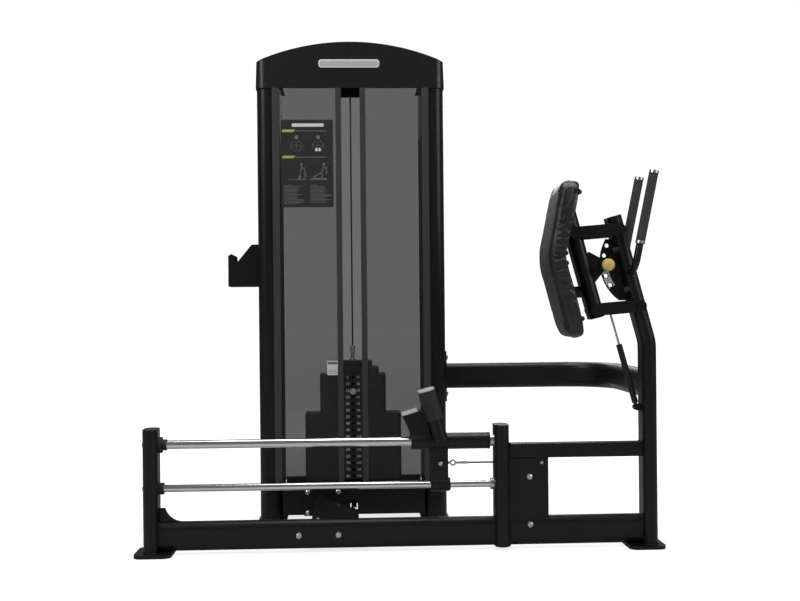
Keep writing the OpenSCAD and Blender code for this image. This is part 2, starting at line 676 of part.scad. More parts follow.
module selector_rod() placed() color(steel) {
    difference() {
        rod_z(0, stack_y, stack_z + 3, stack_top + 58, 12.5);
        for (i = [0 : plate_count - 1])
            rod_y(0, stack_y - 13, stack_y + 13, stack_z + (i + 0.5) * plate_t, 5.05);
    }
    rod_z(0, stack_y, stack_top + 58, stack_top + 84, 7);
    rod_z(0, stack_y, stack_top + 84, terminal_top, 9);
}

module selector_pin() placed() color(steel) {
    rod_y(0, 522, stack_y + 13, pin_z, 5);
    difference() {
        rod_y(0, 503, 522, pin_z, 12);
        rod_y(0, 500, 508, pin_z, 8);
    }
}

// Open tray for a bottle or towel on the tower's left side
module accessory_holder() placed() color(black_coat) difference() {
    along_y(tower_mid_y - 60, tower_mid_y + 60) polygon([[-484, 924], [-363, 924], [-363, 1088], [-392, 1088],
        [-448, 1020], [-458, 1020], [-460, 1046], [-472, 1052], [-484, 1044]]);
    along_y(tower_mid_y - 56, tower_mid_y + 56)
        polygon([[-480, 929], [-368, 929], [-368, 1100], [-480, 1100]]);
}

// ---- Stabiliser from the tower's right column round to the right post ----
stab_z = 562;
stab_r = 190;
module stabiliser_tube() placed() color(black_coat) {
    difference() {
        union() {
            translate([0, stack_y, 0]) along_x(tower_w / 2 + 8, right_post_x - stab_r) translate([0, stab_z])
                oval_ring(tube_w, tube_h, wall);
            translate([right_post_x - stab_r, stack_y - stab_r, stab_z])
                rotate_extrude(angle = 90, $fn = 96) translate([stab_r, 0]) oval_ring(tube_w, tube_h, wall);
            along_y(0, stack_y - stab_r) translate([right_post_x, stab_z]) oval_ring(tube_w, tube_h, wall);
        }
        translate([right_post_x, 0, 0]) along_z(stab_z - 120, stab_z + 120) flat_oval(tube_w, tube_h);
        slab([right_post_x - 40, right_post_x + 40], [-60, 20], [400, 700]);
    }
    difference() {
        translate([0, stack_y, 0]) along_x(tower_w / 2, tower_w / 2 + 8) translate([0, stab_z])
            rounded_rect(106, 200, 10);
        for (y = [572, 648], z = [493, 637])
            rod_x(tower_w / 2 - 1, tower_w / 2 + 9, y, z, bolt_r + 0.02);
    }
}

// ---- Handles ----
handle_x = 954;
handle_z = 948;
handle_y = 96;
handle_bend = 44;
grip_lean = 11.7;
grip_start = 95;
grip_len = 246;
module handle_placed(s) translate([handle_x, 0, handle_z]) rotate([0, grip_lean, 0])
    mirror([0, s > 0 ? 0 : 1, 0]) children();
module handle_tubes() placed() color(black_coat) {
    for (s = [-1, 1]) handle_placed(s) {
        translate([0, handle_y - handle_bend, handle_bend]) rotate([90, 0, 90]) rotate([0, 0, -90])
            rotate_extrude(angle = 90) translate([handle_bend, 0]) circle(r = 12.5);
        rod_z(0, handle_y, handle_bend, grip_start + grip_len, 12.5);
    }
    // Stubs coped to the post's rounded sides
    difference() {
        for (s = [-1, 1]) handle_placed(s) rod_y(0, 20, handle_y - handle_bend, 0, 12.5);
        for (s = [-1, 1]) translate([right_post_x, s * (half_h - half_w), bend_z]) rotate([0, -post_lean, 0])
            rod_z(0, 0, 100, lean_len, half_w);
    }
}
module grips() placed() color([0.16, 0.16, 0.17]) for (s = [-1, 1]) handle_placed(s) difference() {
    rod_z(0, handle_y, grip_start + 9, grip_start + grip_len - 4, 16);
    rod_z(0, handle_y, grip_start, grip_start + grip_len, 12.52);
}
module grip_collars() placed() color(steel) for (s = [-1, 1]) handle_placed(s) {
    difference() {
        rod_z(0, handle_y, grip_start, grip_start + 9, 16.5);
        rod_z(0, handle_y, grip_start - 1, grip_start + 10, 12.52);
    }
    difference() {
        rod_z(0, handle_y, grip_start + grip_len - 4, grip_start + grip_len + 6, 16.5);
        rod_z(0, handle_y, grip_start + grip_len - 5, grip_start + grip_len, 12.52);
    }
}

// ---- Chest pad lift ----
// Point on the index circle at an angle a above the horizontal
function around(c, r, a) = [c[0] - r * cos(a), c[1] + r * sin(a)];
rest_angle = atan2(link_dz, -link_dx);
hole_r0 = norm([link_dx, link_dz]);
// Index sector welded to the right post: a groove guides the plunger between its five holes
module index_sector() placed() color([0.12, 0.12, 0.13]) difference() {
    along_y(sector_y0, sector_y0 + sector_t) intersection() {
        translate(sector_centre) circle(r = 164, $fn = 96);
        polygon([[820, 1062], [923, 1062], [980, 850], [820, 850]]);
    }
    leaning_post();
    for (k = [-2 : 2]) {
        p = around(sector_centre, hole_r0, rest_angle + k * sector_step);
        rod_y(p[0], sector_y0 - 1, sector_y0 + sector_t + 1, p[1], 7);
    }
    translate([sector_centre[0], sector_y0 + 4, sector_centre[1]]) rotate([90, 0, 0]) rotate([0, 0, 130])
        rotate_extrude(angle = 105, $fn = 96) translate([hole_r0 - 6, 0]) square([12, 10]);
}

// Fixed pins: the two link pivots through the right post, and the gas spring's lower pin
module pivot_pins() placed() color([0.2, 0.2, 0.21]) {
    rod_y(spring_eye[0], -18, 18, spring_eye[1], 5);
    for (p = [upper_pivot, lower_pivot]) {
        rod_y(p[0], -link_y - link_t, link_y + link_t, p[1], pivot_r);
        for (s = [-1, 1]) rod_y(p[0], s > 0 ? link_y + link_t : -link_y - link_t - 3,
            s > 0 ? link_y + link_t + 3 : -link_y - link_t, p[1], 12);
    }
}

// A pair of link plates outside the post and the carrier, with the pin at the carrier's end
module link_pair(p) {
    c = [p[0] + link_dx, p[1] + link_dz];
    a = atan2(-link_dz, -link_dx);
    for (s = [-1, 1]) difference() {
        along_y(s > 0 ? link_y : -link_y - link_t, s > 0 ? link_y + link_t : -link_y) translate(p)
            rotate([0, 0, a]) {
                translate([-hole_r0, -link_h / 2]) square([hole_r0, link_h]);
                circle(r = link_h / 2);
                translate([-hole_r0, 0]) circle(r = link_h / 2);
            }
        rod_y(p[0], -80, 80, p[1], pivot_r + pivot_gap);
    }
    rod_y(c[0], -link_y, link_y, c[1], pivot_r);
}
module upper_links() placed() color(black_coat) link_pair(upper_pivot);
module lower_links() placed() color(black_coat) link_pair(lower_pivot);

// Carrier tube with its pin bores, the stub to the pad, and the pop pin's bracket and guide
module tilted_from(p) translate([p[0], 0, p[1]]) rotate([0, -post_lean, 0]) children();
lower_carrier = [lower_pivot[0] + link_dx, lower_pivot[1] + link_dz];
upper_carrier = [upper_pivot[0] + link_dx, upper_pivot[1] + link_dz];
// Outlines about the pad's bend, turned with the pad
module at_bend() translate(pad_bend) rotate([0, 0, pad_tilt]) children();
module pad_side() at_bend() {
    // Everything behind the pad's back faces
    rotate([0, 0, -pad_half_angle]) translate([0, -1]) square([400, 420]);
    rotate([0, 0, pad_half_angle]) translate([0, -420]) square([400, 421]);
}
module pad_carrier() placed() color(black_coat) {
    difference() {
        intersection() {
            tilted_from(lower_carrier) along_z(-28, 420) oval_ring(tube_w, tube_h, wall);
            along_y(-60, 60) pad_side();
        }
        rod_y(upper_carrier[0], -60, 60, upper_carrier[1], pivot_r + pivot_gap);
        rod_y(lower_carrier[0], -60, 60, lower_carrier[1], pivot_r + open_gap);
        rod_x(720, 800, 0, 880, 20);
    }
    difference() {
        intersection() {
            rod_x(700, 815, 0, 880, 20);
            along_y(-60, 60) pad_side();
        }
        tilted_from(lower_carrier) along_z(-28, 420) flat_oval(tube_w - 2 * wall, tube_h - 2 * wall);
    }
    difference() {
        union() {
            along_y(-24, -16) polygon([[790, 1000], [815, 1018], [875, 985], [882, 965], [870, 955], [826, 900],
                [812, 912]]);
            rod_y(knob[0], -62, -16, knob[1], 11);
        }
        tilted_from(lower_carrier) along_z(-28, 420) flat_oval(tube_w, tube_h);
        rod_y(knob[0], -63, -15, knob[1], 5.05);
    }
}

// A point on the pad: along one half from the bend, and in front of its back face
function on_pad(half, along, front) = [along * sin(pad_half_angle) - front * cos(pad_half_angle),
    half * (along * cos(pad_half_angle) + front * sin(pad_half_angle))];
// Rounded corners of the pad as seen from the user's side
module pad_corners(w, z0, z1, r) rotate([90, 0, 90]) translate([0, pad_bend[1] + (z0 + z1) / 2, 500])
    linear_extrude(400) rounded_rect(w, z1 - z0, r);

// Bent board: two halves that meet at the bend
board_len = 246;
module pad_board() placed() color(black_coat) intersection() {
    along_y(-110, 110) at_bend() polygon([[0, 0], on_pad(1, board_len, 0), on_pad(1, board_len, board_t),
        [-board_t / cos(pad_half_angle), 0], on_pad(-1, board_len, board_t), on_pad(-1, board_len, 0)]);
    pad_corners(220, -250, 250, 40);
}

// Cushion in front of the board, with eased ends
upper_len = 266;
lower_len = 279;
front_t = board_t + cushion_t;
function cushion_end(half, length) = [on_pad(half, length, board_t), on_pad(half, length, front_t - 20),
    on_pad(half, length - 6, front_t - 6), on_pad(half, length - 20, front_t)];
module pad_cushion() placed() color([0.07, 0.07, 0.07]) intersection() {
    along_y(-pad_w / 2, pad_w / 2) at_bend() polygon(concat([[-board_t / cos(pad_half_angle), 0]],
        cushion_end(1, upper_len), [[-front_t / cos(pad_half_angle), 0]],
        [for (i = [3 : -1 : 0]) cushion_end(-1, lower_len)[i]]));
    pad_corners(pad_w, -284, 272, 45);
}

// Yellow knob with its plunger
module pop_pin() placed() color([0.88, 0.78, 0.36]) {
    translate([knob[0], -68, knob[1]]) rotate([90, 0, 0]) rotate_extrude() polygon([[0, -3], [9, -3], [9, 0],
        [18, 2], [21, 7], [21, 17], [18, 22], [10, 25], [0, 26]]);
    rod_y(knob[0], -66, sector_y0 + 3, knob[1], 5);
}

// ---- Gas spring ----
module spring_placed() translate([spring_eye[0], 0, spring_eye[1]]) rotate([0, spring_lean, 0]) children();
module gas_cylinder() placed() color([0.05, 0.05, 0.05]) spring_placed() difference() {
    union() {
        rod_z(0, 0, 16, cylinder_len, 10.5);
        rod_z(0, 0, 4, 18, 6);
        rod_y(0, -11.5, 11.5, 0, 9.5);
    }
    rod_z(0, 0, 22, cylinder_len - 8, 8.5);
    rod_z(0, 0, cylinder_len - 9, cylinder_len + 1, 4.05);
    rod_y(0, -12, 12, 0, 5.05);
}
module gas_rod() placed() color(steel) spring_placed() {
    rod_z(0, 0, spring_len - rod_len, spring_len - 5, 4);
    rod_y(0, -half_h - 0.4, half_h + 0.4, spring_len, 6);
}

left_base_tube();
right_base_tube();
short_posts();
right_post();
crossbar();
frame_plates();
pulley_cover();
base_feet();
post_caps();
guide_rods();
rod_collars();
rubber_stops();
frame_bolts();
cross_tube();
corner_cover();
carriage_sleeve();
carriage_bushings();
carriage_hanger();
pedal_stem();
pedal_pad();
heel_block();
pedal_caps();
cable_eyebolt();
upper_front_pulley();
lower_front_pulley();
corner_pulley();
tower_base_pulley();
top_pulley();
pulley_axles();
machine_cable();
carriage_cable();
stack_cable();
tower_columns();
tower_base();
tower_top_beam();
hood();
smoked_shields();
shield_channels();
placard();
stack_guide_rods();
resting_plates();
lifted_plates();
head_plate();
selector_rod();
selector_pin();
accessory_holder();
stabiliser_tube();
handle_tubes();
grips();
grip_collars();
index_sector();
pivot_pins();
upper_links();
lower_links();
pad_carrier();
pad_board();
pad_cushion();
pop_pin();
gas_cylinder();
gas_rod();
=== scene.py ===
import json
import math
import random

import bmesh
import bpy
from mathutils import Matrix, Vector
from mathutils.bvhtree import BVHTree


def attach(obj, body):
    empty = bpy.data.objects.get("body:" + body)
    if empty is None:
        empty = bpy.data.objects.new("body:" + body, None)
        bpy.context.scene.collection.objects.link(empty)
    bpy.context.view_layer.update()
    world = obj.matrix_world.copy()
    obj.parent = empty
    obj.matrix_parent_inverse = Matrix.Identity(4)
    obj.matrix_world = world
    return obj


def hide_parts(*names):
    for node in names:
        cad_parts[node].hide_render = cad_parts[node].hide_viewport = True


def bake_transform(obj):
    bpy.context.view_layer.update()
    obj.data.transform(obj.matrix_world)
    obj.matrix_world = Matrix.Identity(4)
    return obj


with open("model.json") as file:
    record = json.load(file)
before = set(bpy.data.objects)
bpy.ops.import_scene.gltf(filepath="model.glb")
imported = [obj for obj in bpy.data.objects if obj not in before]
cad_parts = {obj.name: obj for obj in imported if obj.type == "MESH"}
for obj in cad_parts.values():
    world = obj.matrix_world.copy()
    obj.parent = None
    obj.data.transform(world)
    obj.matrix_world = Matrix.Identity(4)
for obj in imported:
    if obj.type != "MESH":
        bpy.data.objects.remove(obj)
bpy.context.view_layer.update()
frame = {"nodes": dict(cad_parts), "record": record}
random.seed(7)

# Layout values of the CAD model, in millimetres: x from the tower's centre line, y from the front
# frame's plane, z from the floor
MID_X, MID_Y = 162.0, 315.0  # the layout point at the row frame's origin

# Front frame: inner faces of the left and middle posts, seam flange, axis of the right post
LEFT_FACE, MID_FACE, SEAM_X, RIGHT_X = -662.0, 482.0, 532.0, 1019.0
BASE_Z = 62.0  # centre line of the base tubes
FOOT_TOP = 12.4
CROSSBAR_TOP = 362.0
CABLE_Z = 297.0  # height of the cable's run to the carriage
CABLE_END = 374.0  # where that run meets the carriage's eyebolt

# Tower and weight stack
TOWER_FRONT = 490.0
STACK_Y, STACK_Z = 610.0, 163.0
PLATE_T, PLATES, LIFTED = 25.8, 16, 3
PLATE_FACE = 544.6  # front of the plates' number strips

# Chest pad
PAD_BEND = (718.0, 998.0)
HALF_ANGLE, TILT = math.radians(12), math.radians(1.8)
BOARD_T, PAD_T, PAD_W = 10.0, 42.0, 250.0
PAD_L = 272.5  # half of the length along the bent pad
PAD_SHIFT = -6.5  # the lower half is longer than the upper one
PAD_ROUND = 4.4  # how square the pad's outline is
BEND_BLEND = 44.0  # half of the arc that joins the two straight halves
END_ROUND = 32.0  # radius of the face's roll-over at each end

# Index sector of the pop pin: pivot, front face, radius of the holes and degrees between them
SECTOR, SECTOR_Y = (1019.0, 982.0), -13.0
HOLE_R, HOLE_STEP = math.hypot(150, 12), 13.5
HOLE_REST = math.degrees(math.atan2(-12, 150))


def pt(x, y, z):
    """Row frame point, in metres, of a layout point in millimetres."""
    return Vector(((x - MID_X) / 1000, (y - MID_Y) / 1000, z / 1000))


def layout(p):
    """Layout point, in millimetres, of a row frame point in metres."""
    return Vector((p.x * 1000 + MID_X, p.y * 1000 + MID_Y, p.z * 1000))


# ------------------------------------------------------------------ materials
def nodes_of(name):
    """A new material with its node tree, shader and texture coordinates."""
    m = bpy.data.materials.new(name)
    m.use_nodes = True
    nt = m.node_tree
    nt.nodes.clear()
    out = nt.nodes.new("ShaderNodeOutputMaterial")
    b = nt.nodes.new("ShaderNodeBsdfPrincipled")
    nt.links.new(b.outputs["BSDF"], out.inputs["Surface"])
    coord = nt.nodes.new("ShaderNodeTexCoord")
    return m, nt, b, coord


def noise(nt, vec, scale, detail=3.0, rough=0.5):
    n = nt.nodes.new("ShaderNodeTexNoise")
    n.inputs["Scale"].default_value = scale
    n.inputs["Detail"].default_value = detail
    n.inputs["Roughness"].default_value = rough
    nt.links.new(vec, n.inputs["Vector"])
    return n.outputs["Fac"]


def span(nt, value, a, b, lo=0.3, hi=0.7):
    """Maps a value's range lo..hi to a..b."""
    r = nt.nodes.new("ShaderNodeMapRange")
    r.inputs["From Min"].default_value = lo
    r.inputs["From Max"].default_value = hi
    r.inputs["To Min"].default_value = a
    r.inputs["To Max"].default_value = b
    nt.links.new(value, r.inputs["Value"])
    return r.outputs["Result"]


def mix_colour(nt, factor, a, b):
    m = nt.nodes.new("ShaderNodeMix")
    m.data_type = "RGBA"
    for socket, value in ((m.inputs[6], a), (m.inputs[7], b)):
        if isinstance(value, (tuple, list)):
            socket.default_value = (*value[:3], 1)
        else:
            nt.links.new(value, socket)
    nt.links.new(factor, m.inputs[0])
    return m.outputs[2]


def stretched(nt, vec, scale):
    m = nt.nodes.new("ShaderNodeMapping")
    m.inputs["Scale"].default_value = scale
    nt.links.new(vec, m.inputs["Vector"])
    return m.outputs["Vector"]


def bump(nt, b, height, strength, distance, edge=0.0):
    node = nt.nodes.new("ShaderNodeBump")
    node.inputs["Strength"].default_value = strength
    node.inputs["Distance"].default_value = distance
    nt.links.new(height, node.inputs["Height"])
    if edge:
        bevel = nt.nodes.new("ShaderNodeBevel")
        bevel.samples = 4
        bevel.inputs["Radius"].default_value = edge
        nt.links.new(bevel.outputs["Normal"], node.inputs["Normal"])
    nt.links.new(node.outputs["Normal"], b.inputs["Normal"])


def surface(name, colour, rough, metal=0.0, vary=0.12, patch=9.0, grain=900.0, height=0.00005,
            strength=0.25, stretch=None, edge=0.0012, rough_vary=0.06, spec=0.5):
    """A finish with patchy tone, varied roughness, fine grain and softened edges."""
    m, nt, b, coord = nodes_of(name)
    vec = coord.outputs["Object"]
    grained = stretched(nt, vec, stretch) if stretch else vec
    low = [c * (1 - vary) for c in colour]
    high = [min(1, c * (1 + vary)) for c in colour]
    broad = noise(nt, vec, patch, 4)
    nt.links.new(mix_colour(nt, span(nt, broad, 0, 1), low, high), b.inputs["Base Color"])
    fine = noise(nt, grained, grain, 2)
    rough_of = noise(nt, grained, grain * 0.08, 3)
    nt.links.new(span(nt, rough_of, max(0.02, rough - rough_vary), rough + rough_vary),
                 b.inputs["Roughness"])
    bump(nt, b, fine, strength, height, edge)
    b.inputs["Metallic"].default_value = metal
    b.inputs["Specular IOR Level"].default_value = spec
    return m


def leather_material():
    """Black upholstery with a fine pebbled grain and soft creases."""
    m, nt, b, coord = nodes_of("pad_leather")
    vec = coord.outputs["Object"]
    cells = nt.nodes.new("ShaderNodeTexVoronoi")
    cells.feature = "DISTANCE_TO_EDGE"
    cells.inputs["Scale"].default_value = 620
    nt.links.new(vec, cells.inputs["Vector"])
    grain = span(nt, cells.outputs["Distance"], 0, 1, 0.0, 0.12)
    soft = noise(nt, vec, 60, 4)
    height = nt.nodes.new("ShaderNodeMath")
    height.operation = "MULTIPLY_ADD"
    nt.links.new(soft, height.inputs[0])
    height.inputs[1].default_value = 1.4
    nt.links.new(grain, height.inputs[2])
    bump(nt, b, height.outputs[0], 0.32, 0.00018)
    broad = noise(nt, vec, 14, 5)
    low, high = (0.0085, 0.0085, 0.009), (0.0155, 0.0155, 0.016)
    nt.links.new(mix_colour(nt, span(nt, broad, 0, 1), low, high), b.inputs["Base Color"])
    nt.links.new(span(nt, soft, 0.29, 0.42), b.inputs["Roughness"])
    b.inputs["Specular IOR Level"].default_value = 0.55
    b.inputs["Sheen Weight"].default_value = 0.04
    return m


def smoked_material():
    """Clear-smoke front sheets and a dark rear sheet, told apart by their depth; the rear sheet's
    tint is painted shade, darker towards the bottom.
    """
    m, nt, b, coord = nodes_of("smoked_sheet_painted_shade")
    out = next(n for n in nt.nodes if n.type == "OUTPUT_MATERIAL")
    split = nt.nodes.new("ShaderNodeSeparateXYZ")
    nt.links.new(coord.outputs["Object"], split.inputs[0])
    rear = nt.nodes.new("ShaderNodeMath")
    rear.operation = "GREATER_THAN"
    rear.inputs[1].default_value = pt(0, STACK_Y - 10, 0).y
    nt.links.new(split.outputs["Y"], rear.inputs[0])
    clear = nt.nodes.new("ShaderNodeBsdfTransparent")
    # Painted shade: the rear sheet's tint darkens towards the bottom, standing in for the shade low
    # behind the tower
    height = span(nt, split.outputs["Z"], 0.34, 0.412, 0.15, 0.8)
    rear_tint_painted_shade = nt.nodes.new("ShaderNodeCombineColor")
    for i in range(3):
        nt.links.new(height, rear_tint_painted_shade.inputs[i])
    nt.links.new(mix_colour(nt, rear.outputs[0], (0.96, 0.96, 0.963), rear_tint_painted_shade.outputs[0]),
                 clear.inputs["Color"])
    patches = span(nt, noise(nt, coord.outputs["Object"], 6, 3), 0, 1)
    nt.links.new(mix_colour(nt, patches, (0.062, 0.064, 0.066), (0.072, 0.074, 0.076)),
                 b.inputs["Base Color"])
    b.inputs["Roughness"].default_value = 0.32
    b.inputs["Specular IOR Level"].default_value = 0.25
    mix = nt.nodes.new("ShaderNodeMixShader")
    mix.inputs[0].default_value = 0.1
    nt.links.new(clear.outputs[0], mix.inputs[1])
    nt.links.new(b.outputs["BSDF"], mix.inputs[2])
    nt.links.new(mix.outputs[0], out.inputs["Surface"])
    return m


def grip_material():
    """Dark rubber with a fine raised pattern."""
    m, nt, b, coord = nodes_of("textured_grip")
    vec = coord.outputs["Object"]
    cells = nt.nodes.new("ShaderNodeTexVoronoi")
    cells.inputs["Scale"].default_value = 300
    nt.links.new(stretched(nt, vec, (1, 1, 0.6)), cells.inputs["Vector"])
    bump(nt, b, cells.outputs["Distance"], 0.5, 0.0005)
    pattern = span(nt, cells.outputs["Distance"], 0, 1, 0.1, 0.6)
    nt.links.new(mix_colour(nt, pattern, (0.05, 0.05, 0.052), (0.03, 0.03, 0.031)),
                 b.inputs["Base Color"])
    nt.links.new(span(nt, noise(nt, vec, 80, 3), 0.6, 0.75), b.inputs["Roughness"])
    return m


def knob_material():
    """Mottled yellow knob on a steel plunger, told apart by their depth."""
    knob_back = -65.2
    m, nt, b, coord = nodes_of("mottled_knob")
    vec = coord.outputs["Object"]
    split = nt.nodes.new("ShaderNodeSeparateXYZ")
    nt.links.new(vec, split.inputs[0])
    back = nt.nodes.new("ShaderNodeMath")
    back.operation = "GREATER_THAN"
    back.inputs[1].default_value = pt(0, knob_back, 0).y
    nt.links.new(split.outputs["Y"], back.inputs[0])
    marble = noise(nt, vec, 170, 5, 0.65)
    yellow = mix_colour(nt, span(nt, marble, 0, 1, 0.35, 0.65),
                        (0.62, 0.42, 0.085), (0.86, 0.68, 0.24))
    nt.links.new(mix_colour(nt, back.outputs[0], yellow, (0.55, 0.55, 0.57)),
                 b.inputs["Base Color"])
    nt.links.new(back.outputs[0], b.inputs["Metallic"])
    nt.links.new(span(nt, marble, 0.3, 0.5), b.inputs["Roughness"])
    bump(nt, b, marble, 0.3, 0.0002)
    return m


BLACK = surface("satin_powder_coat", (0.0055, 0.0055, 0.0058), 0.36, vary=0.16, patch=7,
                grain=1500, height=0.00001, strength=0.1, edge=0.0016, rough_vary=0.04, spec=0.36)
GLOSS = surface("gloss_black", (0.0085, 0.0085, 0.009), 0.34, vary=0.1, patch=5, grain=1200,
                height=0.000004, strength=0.04, edge=0.004, spec=0.45)
CHANNEL = surface("channel_profile", (0.04, 0.04, 0.041), 0.45, vary=0.1, patch=6, grain=900,
                  height=0.00001, strength=0.1)
PLASTIC = surface("matte_plastic", (0.016, 0.016, 0.017), 0.52, vary=0.15, patch=25, grain=1400,
                  height=0.00005, strength=0.3)
CHROME = surface("polished_chrome", (0.86, 0.87, 0.88), 0.09, metal=1.0, vary=0.04, patch=4,
                 grain=200, height=0.000002, strength=0.03, stretch=(0.03, 1, 0.25), edge=0.0,
                 rough_vary=0.015)
ZINC = surface("zinc_steel", (0.63, 0.64, 0.66), 0.26, metal=1.0, vary=0.1, patch=60, grain=900,
               height=0.00002, strength=0.12, edge=0.0006, rough_vary=0.08)
ALU = surface("brushed_aluminium", (0.78, 0.79, 0.8), 0.27, metal=1.0, vary=0.05, patch=30,
              grain=1500, height=0.00002, strength=0.15, stretch=(1, 1, 0.08), edge=0.0)
RUBBER = surface("moulded_rubber", (0.014, 0.014, 0.0145), 0.62, vary=0.2, patch=40, grain=700,
                 height=0.00012, strength=0.4, edge=0.0015)
CABLE = surface("coated_cable", (0.009, 0.009, 0.0095), 0.3, vary=0.1, patch=50, grain=600,
                height=0.00003, strength=0.15, edge=0.0)
IRON = surface("painted_iron", (0.011, 0.011, 0.012), 0.5, vary=0.25, patch=20, grain=420,
               height=0.00012, strength=0.35, edge=0.002)
LEATHER = leather_material()
SMOKED = smoked_material()
GRIP = grip_material()
KNOB = knob_material()
PRINT = surface("placard_sheet", (0.022, 0.022, 0.024), 0.42, vary=0.1, patch=15, grain=800,
                height=0.00002, strength=0.1)
WHITE = surface("print_white", (0.74, 0.74, 0.74), 0.5, vary=0.04, patch=60, grain=900,
                height=0.00001)
GREY = surface("print_grey", (0.17, 0.17, 0.175), 0.5, vary=0.08, patch=60, grain=900,
               height=0.00001)
LIME = surface("print_lime", (0.42, 0.46, 0.13), 0.5, vary=0.06, patch=60, grain=900,
               height=0.00001)
DULL_STEEL = surface("dull_steel", (0.05, 0.05, 0.052), 0.5, vary=0.2, patch=8, grain=500)
CAP_PLATE = surface("bright_end_plate", (0.66, 0.66, 0.67), 0.34, metal=0.15, vary=0.06, patch=40,
                    grain=900, height=0.00001, strength=0.1)
BADGE = surface("badge_plate", (0.5, 0.5, 0.505), 0.42, vary=0.05, patch=20, grain=900,
                height=0.00001)
THREAD = surface("stitch_thread", (0.06, 0.06, 0.061), 0.55, vary=0.15, patch=300, grain=2500,
                 height=0.00003, strength=0.3, edge=0.0)

# Finish of each material slot, and of the few pieces that differ from their slot
FINISH = {"powder_coat": BLACK, "gloss_black": GLOSS, "black_plastic": PLASTIC, "chrome": CHROME,
          "bright_steel": ZINC, "alu": ALU, "rubber": RUBBER, "grip_rubber": GRIP,
          "leather": LEATHER, "smoked": SMOKED, "iron": IRON, "yellow": KNOB, "placard": PRINT,
          "cable": CABLE}
OWN_FINISH = {"pedal_caps": CAP_PLATE, "stack_guide_rods": DULL_STEEL, "pivot_pins": BLACK,
              "shield_channels": CHANNEL}
for part in frame["record"]["subparts"]:
    node = frame["nodes"][part["node"]]
    node.data.materials.clear()
    node.data.materials.append(OWN_FINISH.get(part["node"], FINISH[part["material_slot"]]))
    for poly in node.data.polygons:
        poly.material_index = 0


# ------------------------------------------------------------------ mesh helpers
def add_mesh(name, verts, faces, materials, body, index=None, smooth=True):
    """A new piece that rides on a body, from points in metres."""
    me = bpy.data.meshes.new(name)
    me.from_pydata([tuple(v) for v in verts], [], faces)
    for m in materials:
        me.materials.append(m)
    if index is not None:
        me.polygons.foreach_set("material_index", index)
    me.polygons.foreach_set("use_smooth", [smooth] * len(me.polygons))
    me.update()
    o = bpy.data.objects.new(name, me)
    bpy.context.scene.collection.objects.link(o)
    if body:
        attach(o, body)
    return o


class Builder:
    """Gathers shapes into one mesh."""

    def __init__(self):
        self.v, self.f, self.m = [], [], []

    def add(self, verts, faces, m=0):
        base = len(self.v)
        self.v += [Vector(v) for v in verts]
        self.f += [tuple(base + i for i in f) for f in faces]
        self.m += [m] * len(faces)

    def tube(self, path, radius, sides=10, caps=True):
        """A round bar along a path of points in metres; the radius may be a list, one per point."""
        n = len(path)
        rings = []
        up = Vector((0.0123, 0.31, 0.95)).normalized()
        for i, p in enumerate(path):
            t = (path[min(i + 1, n - 1)] - path[max(i - 1, 0)]).normalized()
            side = t.cross(up)
            if side.length < 0.1:
                side = t.cross(Vector((1, 0, 0)))
            side.normalize()
            other = side.cross(t)
            r = radius[i] if isinstance(radius, list) else radius
            rings.append([p + side * (r * math.cos(2 * math.pi * k / sides))
                          + other * (r * math.sin(2 * math.pi * k / sides)) for k in range(sides)])
        verts = [v for ring in rings for v in ring]
        faces = []
        for i in range(n - 1):
            for k in range(sides):
                a, b = i * sides + k, i * sides + (k + 1) % sides
                faces.append((a, b, b + sides, a + sides))
        if caps:
            faces.append(tuple(reversed(range(sides))))
            faces.append(tuple((n - 1) * sides + k for k in range(sides)))
        self.add(verts, faces)

    def flat(self, outline, y, depth, m=0):
        """A thin raised shape in the XZ plane, facing the front."""
        n = len(outline)
        verts = [pt(x, y, z) for x, z in outline] + [pt(x, y + depth, z) for x, z in outline]
        faces = [tuple(range(n)), tuple(reversed(range(n, 2 * n)))]
        faces += [(i, i + n, (i + 1) % n + n, (i + 1) % n) for i in range(n)]
        self.add(verts, faces, m)

    def build(self, name, materials, body, slot=None, smooth=True):
        return add_mesh(name, self.v, self.f, materials, body, self.m, smooth)


def shade_by_angle(o, degrees=35):
    """Sharp edges stay sharp while the curved faces stay smooth."""
    bm = bmesh.new()
    bm.from_mesh(o.data)
    for e in bm.edges:
        e.smooth = len(e.link_faces) == 2 and e.calc_face_angle(0) < math.radians(degrees)
    bm.to_mesh(o.data)
    bm.free()


def strip_along(points, width):
    """Outline of a round-ended stroke through layout points (x, z), as a polygon."""
    (x0, z0), (x1, z1) = points
    a = math.atan2(z1 - z0, x1 - x0)
    r = width / 2
    out = []
    for x, z, first in ((x1, z1, a - math.pi / 2), (x0, z0, a + math.pi / 2)):
        for k in range(7):
            t = first + math.pi * k / 6
            out.append((x + r * math.cos(t), z + r * math.sin(t)))
    return out


def rounded(x, z, w, h, r, n=5):
    """Outline of a round-cornered rectangle of size w x h, centred on (x, z)."""
    out = []
    for quarter, (sx, sz) in enumerate(((1, 1), (-1, 1), (-1, -1), (1, -1))):
        cx, cz = x + sx * (w / 2 - r), z + sz * (h / 2 - r)
        for k in range(n + 1):
            a = math.radians(90 * (quarter + k / n))
            out.append((cx + r * math.cos(a), cz + r * math.sin(a)))
    return out


def disc(x, z, half_w, half_h):
    """Outline of an ellipse with 16 sides."""
    turns = [math.pi * k / 8 for k in range(16)]
    return [(x + half_w * math.cos(a), z + half_h * math.sin(a)) for a in turns]


